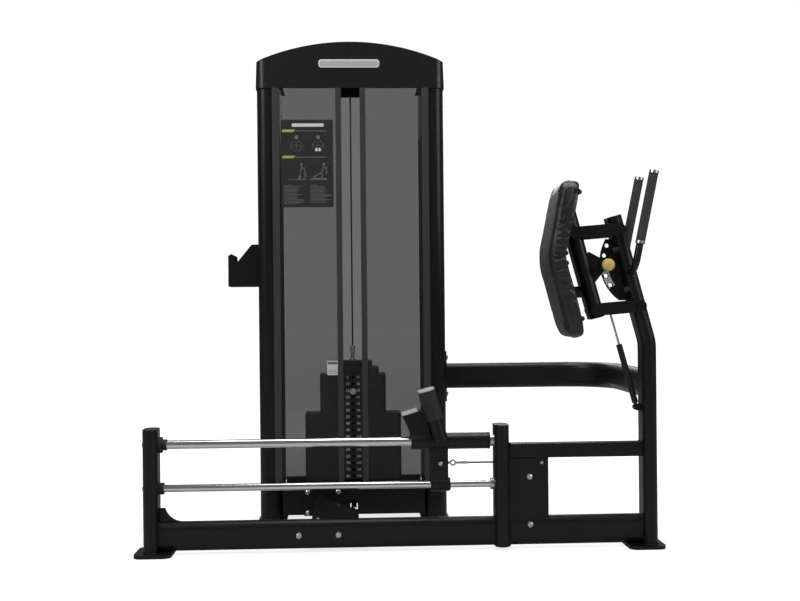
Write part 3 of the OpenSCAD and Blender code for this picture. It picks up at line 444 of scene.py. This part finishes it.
# ------------------------------------------------------------------ chest pad cushion
def pad_point(u, n, y):
    """Layout point of the pad: u along it from the bend, n out from the board's back, y across.

    An arc joins the two straight halves, so that u runs smoothly over the bend. The front face is
    drawn in a little there, where the cover is stretched."""
    radius = BEND_BLEND / HALF_ANGLE
    angle = HALF_ANGLE * max(-1.0, min(1.0, u / BEND_BLEND))
    past = max(0.0, abs(u) - BEND_BLEND)
    drawn_in = (4.5 - 1.5 * n / (BOARD_T + PAD_T)) * math.exp(-(u / 60) ** 2)
    dx = radius * (1 / math.cos(HALF_ANGLE) - math.cos(angle)) + past * math.sin(HALF_ANGLE)
    dz = radius * math.sin(angle) + math.copysign(past * math.cos(HALF_ANGLE), u)
    dx -= n * math.cos(angle) + drawn_in
    dz += n * math.sin(angle)
    c, t = math.cos(TILT), math.sin(TILT)
    return Vector((PAD_BEND[0] + dx * c - dz * t, y, PAD_BEND[1] + dx * t + dz * c))


def pad_coords(p):
    """(u, n, y) of a layout point near the pad."""
    x, z = p.x - PAD_BEND[0], p.z - PAD_BEND[1]
    c, t = math.cos(TILT), math.sin(TILT)
    dx, dz = x * c + z * t, z * c - x * t
    s = 1 if dz >= 0 else -1
    u = s * (dx * math.sin(HALF_ANGLE) + s * dz * math.cos(HALF_ANGLE))
    n = -dx * math.cos(HALF_ANGLE) + s * dz * math.sin(HALF_ANGLE)
    return u, n, p.y


def superellipse(t, a, b, e):
    """Point of a rounded rectangle with half sides a and b; it is squarer as e grows."""
    c, s = math.cos(t), math.sin(t)
    return a * math.copysign(abs(c) ** (2 / e), c), b * math.copysign(abs(s) ** (2 / e), s)


def even_angles(count, a, b, e):
    """Parameters that place points at even distances round a superellipse."""
    steps = 8000
    fine = [superellipse(2 * math.pi * k / steps, a, b, e) for k in range(steps + 1)]
    lengths = [0.0]
    for p, q in zip(fine, fine[1:]):
        lengths.append(lengths[-1] + math.hypot(q[0] - p[0], q[1] - p[1]))
    out, k = [], 0
    for i in range(count):
        while lengths[k] < lengths[-1] * i / count:
            k += 1
        out.append(2 * math.pi * k / steps)
    return out


def end_drop(u, most=END_ROUND):
    """How far the face rolls back near the pad's ends, at u from the pad's middle."""
    over = min(most, max(0.0, abs(u) - (PAD_L - END_ROUND - 1)))
    return END_ROUND - math.sqrt(END_ROUND ** 2 - over ** 2)


def back_lean(u):
    """How far the cover's back stands off the board's plane, growing away from the bend."""
    return 0.042 * u if u > 0 else -0.012 * u


def make_cushion():
    """The cushion's start shape: rings from its back, round the edge, to the crowned face."""
    around, verts, faces = 160, [], []
    slack = 1.5  # the cloth run swells the sides by about this much
    half_u, half_y, full = PAD_L - slack, PAD_W / 2 - slack, BOARD_T + PAD_T + 2
    angles = even_angles(around, half_u, half_y, PAD_ROUND)
    # Each ring: distance inwards from the outline, height above the board's back
    rings = [(60, -0.6), (12, -0.6), (4, 0.4), (1, 3), (0, 8), (0, 22), (0, 37), (0.6, 42),
             (2.4, 46.4), (6, 49.6), (12, 51.6), (24, 53), (50, 53.7), (90, 54)]
    for inset, height in rings:
        for t in angles:
            u, y = superellipse(t, half_u - inset, half_y - inset, PAD_ROUND)
            limit = full - end_drop(u)
            u += PAD_SHIFT
            wedge = back_lean(u) * max(0.0, 1 - height / 30)
            verts.append(pt(*pad_point(u, min(height, limit) - wedge, y)))
    for i in range(len(rings) - 1):
        for k in range(around):
            a, b = i * around + k, i * around + (k + 1) % around
            faces.append((a, b, b + around, a + around))
    # Both caps are strips across the pad, which keep the bend smooth
    top = (len(rings) - 1) * around
    for start, flip in ((0, True), (top, False)):
        for k in range(around // 2):
            far, near = start + (around - k - 1) % around, start + (around - k) % around
            quad = tuple(dict.fromkeys((start + k, start + k + 1, far, near)))
            if len(quad) > 2:
                faces.append(tuple(reversed(quad)) if flip else quad)
    me = bpy.data.meshes.new("cushion_start")
    me.from_pydata([tuple(v) for v in verts], [], faces)
    me.validate()
    o = bpy.data.objects.new("chest_pad_cushion", me)
    bpy.context.scene.collection.objects.link(o)
    bm = bmesh.new()
    bm.from_mesh(me)
    bmesh.ops.recalc_face_normals(bm, faces=bm.faces[:])
    bm.to_mesh(me)
    bm.free()
    return o


def apply_modifiers(o):
    """Turn the object's modifiers into mesh."""
    dg = bpy.context.evaluated_depsgraph_get()
    made = bpy.data.meshes.new_from_object(o.evaluated_get(dg))
    o.modifiers.clear()
    o.data = made


def inflate(o, cap=0.0035):
    """Voxel remesh and a short cloth run under pressure; no point moves further than cap, in m.

    The back edge is held, as it is stapled to the board."""
    held_below, eased_below, last_frame = 8, 14, 20
    remesh = o.modifiers.new("remesh", "REMESH")
    remesh.mode = "VOXEL"
    remesh.voxel_size = 0.0052
    apply_modifiers(o)
    start = [v.co.copy() for v in o.data.vertices]
    group = o.vertex_groups.new(name="held")
    for i, v in enumerate(o.data.vertices):
        depth = pad_coords(layout(v.co))[1]
        weight = 1.0 if depth < held_below else (0.35 if depth < eased_below else 0.0)
        if weight:
            group.add([i], weight, "REPLACE")
    cloth = o.modifiers.new("cloth", "CLOTH")
    s = cloth.settings
    s.quality = 5
    s.mass = 0.3
    s.use_pressure = True
    s.uniform_pressure_force = 4
    s.effector_weights.gravity = 0
    s.vertex_group_mass = "held"
    s.tension_stiffness = s.compression_stiffness = 20
    s.bending_stiffness = 1.5
    scene = bpy.context.scene
    scene.frame_start, scene.frame_end = 1, last_frame
    for f in range(1, last_frame + 1):
        scene.frame_set(f)
    apply_modifiers(o)
    scene.frame_set(1)
    for v, old in zip(o.data.vertices, start):
        move = v.co - old
        if move.length > cap:
            v.co = old + move.normalized() * cap
    sub = o.modifiers.new("fine", "SUBSURF")
    sub.levels = sub.render_levels = 1
    apply_modifiers(o)


def gather_list():
    """Gathers of the side panels as (place along the pad, width, height), tallest at the bend."""
    spots = [(-158, 8.0), (-128, 5.6), (-101, 7.6), (-78, 5.6), (-52, 7.2), (-31, 5.0), (-9, 6.4),
             (12, 5.2), (33, 7.0), (58, 5.4), (80, 7.8), (108, 6.0), (134, 8.0), (166, 7.0)]
    return [(u, width, (4.6 + 1.2 * math.sin(2.3 * i)) * math.exp(-(u / 105.0) ** 2) + 0.3)
            for i, (u, width) in enumerate(spots)]


def sew(o):
    """Gathers on the side panels and a sewn seam along the front edge."""
    me = o.data
    normals = [v.normal.copy() for v in me.vertices]
    gathers = gather_list()
    seam = BOARD_T + PAD_T - 6.0
    for v, normal in zip(me.vertices, normals):
        u, depth, y = pad_coords(layout(v.co))
        from_middle = abs(u - PAD_SHIFT)
        move = 0.0
        if abs(normal.y) > 0.45 and from_middle < PAD_L - 40 and 2 < depth < seam - 1:
            fade = min(1, (seam - 1 - depth) / 14) * min(1, max(0, depth - 1) / 7)
            # Gathers spread from the bend as they run to the front
            foot = u + (depth - 6) * 0.5 * (u / 110.0)
            value = 0.0
            for k, (place, width, height) in enumerate(gathers):
                off = foot - place * (1.0 + 0.03 * math.sin(depth / 6 + 1.7 * k))
                value += height * (math.exp(-(off / width) ** 2)
                                   - 0.75 * math.exp(-((off - 1.9 * width) / width) ** 2))
            move += value * fade - 1.2 * fade * math.exp(-(u / 90.0) ** 2)
        # Seam between the side band and the face: a groove between two low rolls
        from_seam = depth - seam
        if PAD_W / 2 - abs(y) < 14 and abs(from_seam) < 7 and from_middle < PAD_L - 30:
            move -= 1.3 * math.exp(-(from_seam / 1.6) ** 2)
            move += 0.4 * math.exp(-((abs(from_seam) - 3.6) / 1.8) ** 2)
        v.co += normal * (move / 1000)
    me.polygons.foreach_set("use_smooth", [True] * len(me.polygons))
    me.update()


cushion = make_cushion()
inflate(cushion)
sew(cushion)
cushion.data.materials.clear()
cushion.data.materials.append(LEATHER)
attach(cushion, "chest_pad")
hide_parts("pad_cushion")

# Two rows of stitches beside the seam, laid on the cover
STITCH_PITCH, STITCH_HALF, LINE_STEPS = 0.0068, 0.0023, 1200
tree = BVHTree.FromObject(cushion, bpy.context.evaluated_depsgraph_get())
stitches = Builder()
for offset in (PAD_T + 0.2, PAD_T + 7.4):
    ring = []
    for k in range(LINE_STEPS):
        u, y = superellipse(2 * math.pi * k / LINE_STEPS, PAD_L + 2, PAD_W / 2 + 2, PAD_ROUND)
        ring.append(pt(*pad_point(u + PAD_SHIFT, offset - end_drop(u, 30.0), y)))
    total, marks = 0.0, []
    for a, b in zip(ring, ring[1:] + ring[:1]):
        total += (b - a).length
        if total >= STITCH_PITCH:
            total = 0.0
            marks.append((b, (b - a).normalized()))
    for place, along in marks:
        hit, normal, _, _ = tree.find_nearest(place)
        centre = hit + normal * 0.0001
        path = [centre + along * (d * STITCH_HALF) + normal * (0.0003 * (1 - d * d))
                for d in (-1, -0.5, 0, 0.5, 1)]
        stitches.tube(path, [0.0002, 0.0005, 0.0006, 0.0005, 0.0002], sides=6, caps=False)
stitches.build("pad_stitching", [THREAD], "chest_pad")


# ------------------------------------------------------------------ small fastenings and welds
def dome_head(b, centre, axis, r, h, socket=True):
    """A button head with a hex socket, looking along axis; centre in layout millimetres."""
    axis = Vector(axis).normalized()
    side = axis.orthogonal().normalized()
    other = axis.cross(side)
    sides = 24
    turns = [2 * math.pi * k / sides for k in range(sides)]
    profile = [(r, 0), (r, h * 0.25), (r * 0.93, h * 0.55), (r * 0.74, h * 0.85), (r * 0.52, h)]
    rings = [[(radius, a, height) for a in turns] for radius, height in profile]
    for radius, height in ((r * 0.42, h), (r * 0.38, h - r * 0.35 if socket else h)):
        hexed = [radius / math.cos((a + math.pi / 6) % (math.pi / 3) - math.pi / 6) * 0.93
                 for a in turns]
        rings.append([(x, a, height) for x, a in zip(hexed, turns)])
    verts = [pt(*(Vector(centre) + side * x * math.cos(a) + other * x * math.sin(a) + axis * z))
             for ring in rings for x, a, z in ring]
    faces = []
    for start in range(0, (len(rings) - 1) * sides, sides):
        for k in range(sides):
            a, c = start + k, start + (k + 1) % sides
            faces.append((a, c, c + sides, a + sides))
    faces.append(tuple(range(len(verts) - sides, len(verts))))
    b.add(verts, faces)


# Pad bolts through the board, in pairs near each end and at the bend: a washer and a head each
bolts = Builder()
for u in (-216, -22, 12, 222):
    for y in (-100, 100):
        lean = TILT - math.copysign(HALF_ANGLE, u)
        out = Vector((math.cos(lean), 0, math.sin(lean)))
        dome_head(bolts, pad_point(u, 1.4 - back_lean(u), y), out, 11, 4, socket=False)
        dome_head(bolts, pad_point(u, -2.4 - back_lean(u), y), out, 8, 7)
shade_by_angle(bolts.build("pad_bolts", [PLASTIC], "chest_pad", "black_plastic"))


def bead(b, outline, radius=2.3):
    """A weld bead along a line of layout points, uneven as a hand weld is."""
    path = [pt(*p) for p in outline]
    radii = [(radius + 0.35 * math.sin(i * 2.1) + random.uniform(-0.15, 0.15)) / 1000
             for i in range(len(path))]
    b.tube(path, radii, sides=8)


def oval_line(half_w, half_h, count=44):
    """Points (a, b) of a flat-oval outline with round short sides."""
    straight = half_h - half_w
    turns = [2 * math.pi * k / count for k in range(count + 1)]
    return [(half_w * math.cos(a), half_w * math.sin(a) + math.copysign(straight, math.sin(a)))
            for a in turns]


# Weld beads: base tubes to posts, crossbar, handles, cross tube flanges and feet
TUBE_LINE = oval_line(24.6, 49.6)
FLANGE_LINE = oval_line(24.8, 49.8)
FOOT_LINE = oval_line(25.6, 50.6)
LEFT_FOOT_X, RIGHT_FOOT_X = -687.0, 1019.0
welds = Builder()
for x in (LEFT_FACE + 0.6, MID_FACE - 0.6, RIGHT_X - 25.6):
    bead(welds, [(x, a, BASE_Z + c) for a, c in TUBE_LINE])
for x in (SEAM_X + 4.6, RIGHT_X - 25.6):
    bead(welds, [(x, -25, CROSSBAR_TOP - 49.5), (x, -25, CROSSBAR_TOP - 0.5)])
    bead(welds, [(x, a, CROSSBAR_TOP) for a in (-24, -12, 0, 12, 24)])
HANDLE_AT, HANDLE_LEAN = (954, 948), math.radians(11.7)
for s in (-1, 1):
    ring = []
    for k in range(33):
        a = 2 * math.pi * k / 32
        dx = 13.2 * math.cos(a)
        depth = math.sqrt(max(0.0, 25.2 ** 2 - dx * dx)) + 25
        ring.append((HANDLE_AT[0] + dx * math.cos(HANDLE_LEAN), s * depth,
                     HANDLE_AT[1] + 13.2 * math.sin(a)))
    bead(welds, ring, 1.9)
bead(welds, [(-125 + a, 33.6, BASE_Z + c) for a, c in FLANGE_LINE], 1.8)
bead(welds, [(371.5, STACK_Y + a, 562 + c) for a, c in FLANGE_LINE], 2.2)
for x in (LEFT_FOOT_X, RIGHT_FOOT_X):
    bead(welds, [(x + a * 0.985, c, FOOT_TOP) for a, c in FOOT_LINE], 1.9)
shade_by_angle(welds.build("weld_beads", [BLACK], "root", "powder_coat"), 60)

# ------------------------------------------------------------------ placard, badge and labels
PRINT_Y, PRINT_T = TOWER_FRONT - 8.35, 0.3  # front of the placard's print and its thickness
art = Builder()
ART_WHITE, ART_GREY, ART_LIME = 0, 1, 2


def printed(outline, colour=ART_GREY, lift=0.0):
    art.flat(outline, PRINT_Y - lift, PRINT_T, colour)


def bar(x, z, width, height):
    """Outline of a bar from its lower left corner."""
    return [(x, z), (x + width, z), (x + width, z + height), (x, z + height)]


def figure(lines, ox, oz, size, width):
    """Strokes of a small figure, drawn from its own origin."""
    for a, b in lines:
        printed(strip_along([(ox + a[0] * size, oz + a[1] * size),
                             (ox + b[0] * size, oz + b[1] * size)], width))


# Title bar and two headings
printed(rounded(-165, 1543, 124, 13, 5), ART_WHITE)
for z in (1521, 1420):
    printed([(-265, z - 5), (-221, z - 5), (-214, z + 5), (-262, z + 5)], ART_LIME)
    printed(bar(-216, z - 1.4, 124, 1.2), ART_LIME)

# Muscle charts: front and back of a torso
torso = [((-14, 0), (-16, 30)), ((14, 0), (16, 30)), ((-16, 30), (-6, 38)), ((16, 30), (6, 38)),
         ((-22, 6), (-20, 28)), ((22, 6), (20, 28)), ((-14, 0), (14, 0)), ((0, 4), (0, 32)),
         ((-9, 20), (9, 20))]
for ox in (-209, -126):
    figure(torso, ox, 1443, 1.05, 1.3)
    printed(disc(ox, 1496, 7, 8))
for dx in (-6, 6):
    printed(rounded(-126 + dx, 1448, 9, 14, 4), ART_WHITE, 0.2)

# The movement's start and end, each with a head and a floor line
stand = [((0, 0), (2, 26)), ((2, 26), (5, 50)), ((5, 48), (18, 36)), ((-7, 0), (2, 26)),
         ((18, 20), (18, 44)), ((8, 0), (20, 0)), ((20, 0), (20, 30))]
push = [((6, 0), (6, 26)), ((6, 26), (12, 50)), ((12, 48), (24, 38)), ((6, 26), (-26, 8)),
        ((24, 20), (24, 46)), ((-34, 2), (22, 2))]
for lines, ox, head in ((stand, -196, 6), (push, -118, 14)):
    figure(lines, ox, 1334, 1.0, 3.6)
    printed(disc(ox + head, 1391, 5, 5.6))
    printed(bar(ox - 44, 1331, 70, 2))

# Two columns of text lines, as plain bars
for x0, rows in ((-259, 15), (-158, 14)):
    for k in range(rows):
        width = 30 if k == 0 else random.uniform(48, 82)
        printed(bar(x0, 1310 - 5.1 * k, width, 1.7))

# Small blank notice on the left shield
NOTICE_Y = TOWER_FRONT - 5.5
art.flat(rounded(-78, 604, 42, 56, 3), NOTICE_Y, 0.5, ART_WHITE)
art.flat(rounded(-78, 623, 36, 11, 1), NOTICE_Y - 0.2, 0.2, ART_GREY)
for z in (596, 590, 584):
    art.flat(rounded(-78, z, 32, 1.6, 0.5), NOTICE_Y - 0.2, 0.2, ART_GREY)
art.build("placard_print", [WHITE, GREY, LIME], "root", "placard", smooth=False)

# Blank plate on the hood: a light rim around a greyer field
badge = Builder()
BADGE_AT, BADGE_Y = (-4, 1781), 480.6
badge.flat(rounded(*BADGE_AT, 236, 32, 12, 8), BADGE_Y, 1.4, 0)
badge.flat(rounded(*BADGE_AT, 224, 20, 7, 8), BADGE_Y - 0.5, 0.5, 1)
shade_by_angle(badge.build("blank_badge", [WHITE, BADGE], "root", "alu"))


def number_mesh(text, size, x, y, z):
    """Verts and faces of a small number facing the front, centred on a layout point."""
    curve = bpy.data.curves.new("number", "FONT")
    curve.body = text
    curve.size = size / 1000
    curve.align_x, curve.align_y = "CENTER", "CENTER"
    curve.resolution_u = 2
    o = bpy.data.objects.new("number", curve)
    bpy.context.scene.collection.objects.link(o)
    bpy.context.view_layer.update()
    dg = bpy.context.evaluated_depsgraph_get()
    me = bpy.data.meshes.new_from_object(o.evaluated_get(dg))
    at = pt(x, y, z)
    verts = [at + Vector((v.co.x, 0, v.co.y)) for v in me.vertices]
    faces = [tuple(p.vertices) for p in me.polygons]
    bpy.data.objects.remove(o)
    bpy.data.curves.remove(curve)
    return verts, faces


# Two columns of generic numbers down the stack, on dark patches; the lifted plates' ones move
NUMBER_X = 21
still, moving = Builder(), Builder()
for i in range(PLATES):
    b = moving if i >= PLATES - LIFTED else still
    z = STACK_Z + (i + 0.5) * PLATE_T
    count = PLATES - i
    for x in (-NUMBER_X, NUMBER_X):
        b.flat(rounded(x, z, 22, 17, 2, 3), PLATE_FACE + 0.15, 0.2, 1)
    b.add(*number_mesh(str(count * 5), 15.5, -NUMBER_X, PLATE_FACE, z), 0)
    b.add(*number_mesh(str(count * 11), 13, NUMBER_X, PLATE_FACE, z), 0)
still.build("resting_plate_numbers", [WHITE, PLASTIC], "root", "placard", smooth=False)
moving.build("lifted_plate_numbers", [WHITE, PLASTIC], "stack", "placard", smooth=False)


# ------------------------------------------------------------------ index scale on the sector
def arc_point(r, degrees):
    """Layout (x, z) on the sector at a radius and an angle below the horizontal."""
    a = math.radians(degrees)
    return SECTOR[0] - r * math.cos(a), SECTOR[1] + r * math.sin(a)


# A pale band along the lower holes, cut away around each hole
SCALE_FROM, SCALE_TO, SCALE_STEPS = -35.0, -5.5, 60
SCALE_RADII = [137.5, 142, 147, 152, 157, 161]
HOLE_CLEAR = 9.5
holes = [HOLE_REST + k * HOLE_STEP for k in range(-2, 3)]
hole_points = [arc_point(HOLE_R, h) for h in holes]
scale = Builder()
verts, faces = [], []
for i in range(SCALE_STEPS + 1):
    a = SCALE_FROM + (SCALE_TO - SCALE_FROM) * i / SCALE_STEPS
    for r in SCALE_RADII:
        x, z = arc_point(r, a)
        verts.append(pt(x, SECTOR_Y - 0.35, z))
for i in range(SCALE_STEPS):
    a = SCALE_FROM + (SCALE_TO - SCALE_FROM) * (i + 0.5) / SCALE_STEPS
    for j in range(len(SCALE_RADII) - 1):
        x, z = arc_point((SCALE_RADII[j] + SCALE_RADII[j + 1]) / 2, a)
        if all(math.hypot(x - hx, z - hz) > HOLE_CLEAR for hx, hz in hole_points):
            k = i * len(SCALE_RADII) + j
            faces.append((k, k + 1, k + 1 + len(SCALE_RADII), k + len(SCALE_RADII)))
scale.add(verts, faces, 0)
MARK_Y = SECTOR_Y - 0.6
for k, h in enumerate(holes[:2]):
    x, z = arc_point(150, h + 6.6)
    scale.add(*number_mesh(str(k + 1), 9, x, MARK_Y, z), 1)
    for d in (-3.4, 3.4):
        tick = strip_along([arc_point(139, h + d), arc_point(142, h + d)], 0.9)
        scale.flat(tick, MARK_Y, 0.15, 1)
scale.build("index_scale", [WHITE, PLASTIC], "root", "placard", smooth=False)


# ------------------------------------------------------------------ cable runs
CABLE_R, CABLE_RINGS = 0.003, 80


def stretch_cable(name, start, end, node):
    """A straight cable run from the root's end to the moving body's end; the CAD node is hidden."""
    a, b = pt(*start), pt(*end)
    run = Builder()
    run.tube([a.lerp(b, i / CABLE_RINGS) for i in range(CABLE_RINGS + 1)], CABLE_R, sides=12)
    o = run.build(name, [CABLE], None, "cable")
    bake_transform(o)
    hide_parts(node)


stretch_cable("carriage_cable_run", (MID_FACE - 2, 0, CABLE_Z), (CABLE_END, 0, CABLE_Z),
              "carriage_cable")
PULLEY_END_Z = 1745
STACK_END_Z = STACK_Z + PLATES * PLATE_T + 108
stretch_cable("stack_cable_run", (0, STACK_Y, PULLEY_END_Z), (0, STACK_Y, STACK_END_Z),
              "stack_cable")

# Swaged sleeve with crimp rings where the cable meets the eyebolt's shank: (distance, radius)
SLEEVE = ((0, 4.5), (2, 5.2), (5, 4.3), (7, 5.2), (10, 4.3), (12, 5.2), (16, 4.6), (22, 3.4))
crimp = Builder()
crimp.tube([pt(CABLE_END + d, 0, CABLE_Z) for d, _ in SLEEVE], [r / 1000 for _, r in SLEEVE],
           sides=20)
crimp.build("cable_crimp", [ZINC], "carriage", "bright_steel")

# ------------------------------------------------------------------ camera, light and floor
cam_data = bpy.data.cameras.new("camera")
cam_data.lens, cam_data.sensor_width, cam_data.shift_y = 49.185, 36.0, 0.0169
cam_data.clip_end = 200
cam = bpy.data.objects.new("camera", cam_data)
bpy.context.scene.collection.objects.link(cam)
YAW, PITCH_UP, ROLL = math.radians(-2.5), math.radians(90), math.radians(-0.55)
CAMERA_AT = (-0.162, -4.065, 0.810)
turn = (Matrix.Rotation(YAW, 4, "Z") @ Matrix.Rotation(PITCH_UP, 4, "X")
        @ Matrix.Rotation(ROLL, 4, "Z"))
cam.matrix_world = Matrix.Translation(CAMERA_AT) @ turn
bpy.context.scene.camera = cam


def area(name, place, target, size, power):
    """A square soft light that faces its target."""
    data = bpy.data.lights.new(name, "AREA")
    data.energy, data.size = power, size
    o = bpy.data.objects.new(name, data)
    bpy.context.scene.collection.objects.link(o)
    o.location = place
    o.rotation_euler = (Vector(target) - Vector(place)).to_track_quat("-Z", "Y").to_euler()


area("key_left", (-3.6, -3.4, 3.6), (0, 0, 0.8), size=1.8, power=90)
area("fill_right", (3.8, -2.8, 2.6), (0, 0, 0.8), size=2.0, power=55)
area("overhead", (0.2, -0.2, 4.6), (0, 0, 0), size=2.6, power=110)
area("rear", (0.6, 4.2, 3.2), (0, 0, 0.9), size=2.2, power=60)


def studio_world():
    """White to the camera, but only a faint light on the object."""
    world = bpy.data.worlds.new("studio")
    bpy.context.scene.world = world
    world.use_nodes = True
    nt = world.node_tree
    nt.nodes.clear()
    out = nt.nodes.new("ShaderNodeOutputWorld")
    rays = nt.nodes.new("ShaderNodeLightPath")
    mix = nt.nodes.new("ShaderNodeMixShader")
    nt.links.new(rays.outputs["Is Camera Ray"], mix.inputs[0])
    for socket, strength in ((1, 0.14), (2, 1.05)):
        light = nt.nodes.new("ShaderNodeBackground")
        light.inputs["Color"].default_value = (1, 1, 1, 1)
        light.inputs["Strength"].default_value = strength
        nt.links.new(light.outputs[0], mix.inputs[socket])
    nt.links.new(mix.outputs[0], out.inputs[0])


def floor_material():
    """A pale floor that fades to white with the distance, as seen by the camera."""
    m = bpy.data.materials.new("pale_floor")
    m.use_nodes = True
    nt = m.node_tree
    nt.nodes.clear()
    out = nt.nodes.new("ShaderNodeOutputMaterial")
    diffuse = nt.nodes.new("ShaderNodeBsdfDiffuse")
    diffuse.inputs["Color"].default_value = (0.5, 0.5, 0.5, 1)
    glow = nt.nodes.new("ShaderNodeEmission")
    rays = nt.nodes.new("ShaderNodeLightPath")
    coord = nt.nodes.new("ShaderNodeTexCoord")
    far = nt.nodes.new("ShaderNodeVectorMath")
    far.operation = "LENGTH"
    nt.links.new(coord.outputs["Object"], far.inputs[0])
    gain = nt.nodes.new("ShaderNodeMath")
    gain.operation = "MULTIPLY"
    nt.links.new(rays.outputs["Is Camera Ray"], gain.inputs[0])
    nt.links.new(span(nt, far.outputs["Value"], 0.8, 1.05, 1.5, 3.2), gain.inputs[1])
    nt.links.new(gain.outputs[0], glow.inputs["Strength"])
    both = nt.nodes.new("ShaderNodeAddShader")
    nt.links.new(diffuse.outputs[0], both.inputs[0])
    nt.links.new(glow.outputs[0], both.inputs[1])
    nt.links.new(both.outputs[0], out.inputs[0])
    return m


studio_world()
FLOOR_HALF = 60
floor_mesh = bpy.data.meshes.new("studio_floor")
floor_mesh.from_pydata([(-FLOOR_HALF, -FLOOR_HALF, 0), (FLOOR_HALF, -FLOOR_HALF, 0),
                        (FLOOR_HALF, FLOOR_HALF, 0), (-FLOOR_HALF, FLOOR_HALF, 0)],
                       [], [(0, 1, 2, 3)])
floor = bpy.data.objects.new("studio_floor", floor_mesh)
floor.location.z = -0.0005
bpy.context.scene.collection.objects.link(floor)
floor_mesh.materials.append(floor_material())

bpy.context.scene.view_settings.view_transform = "Standard"
bpy.context.scene.view_settings.look = "None"
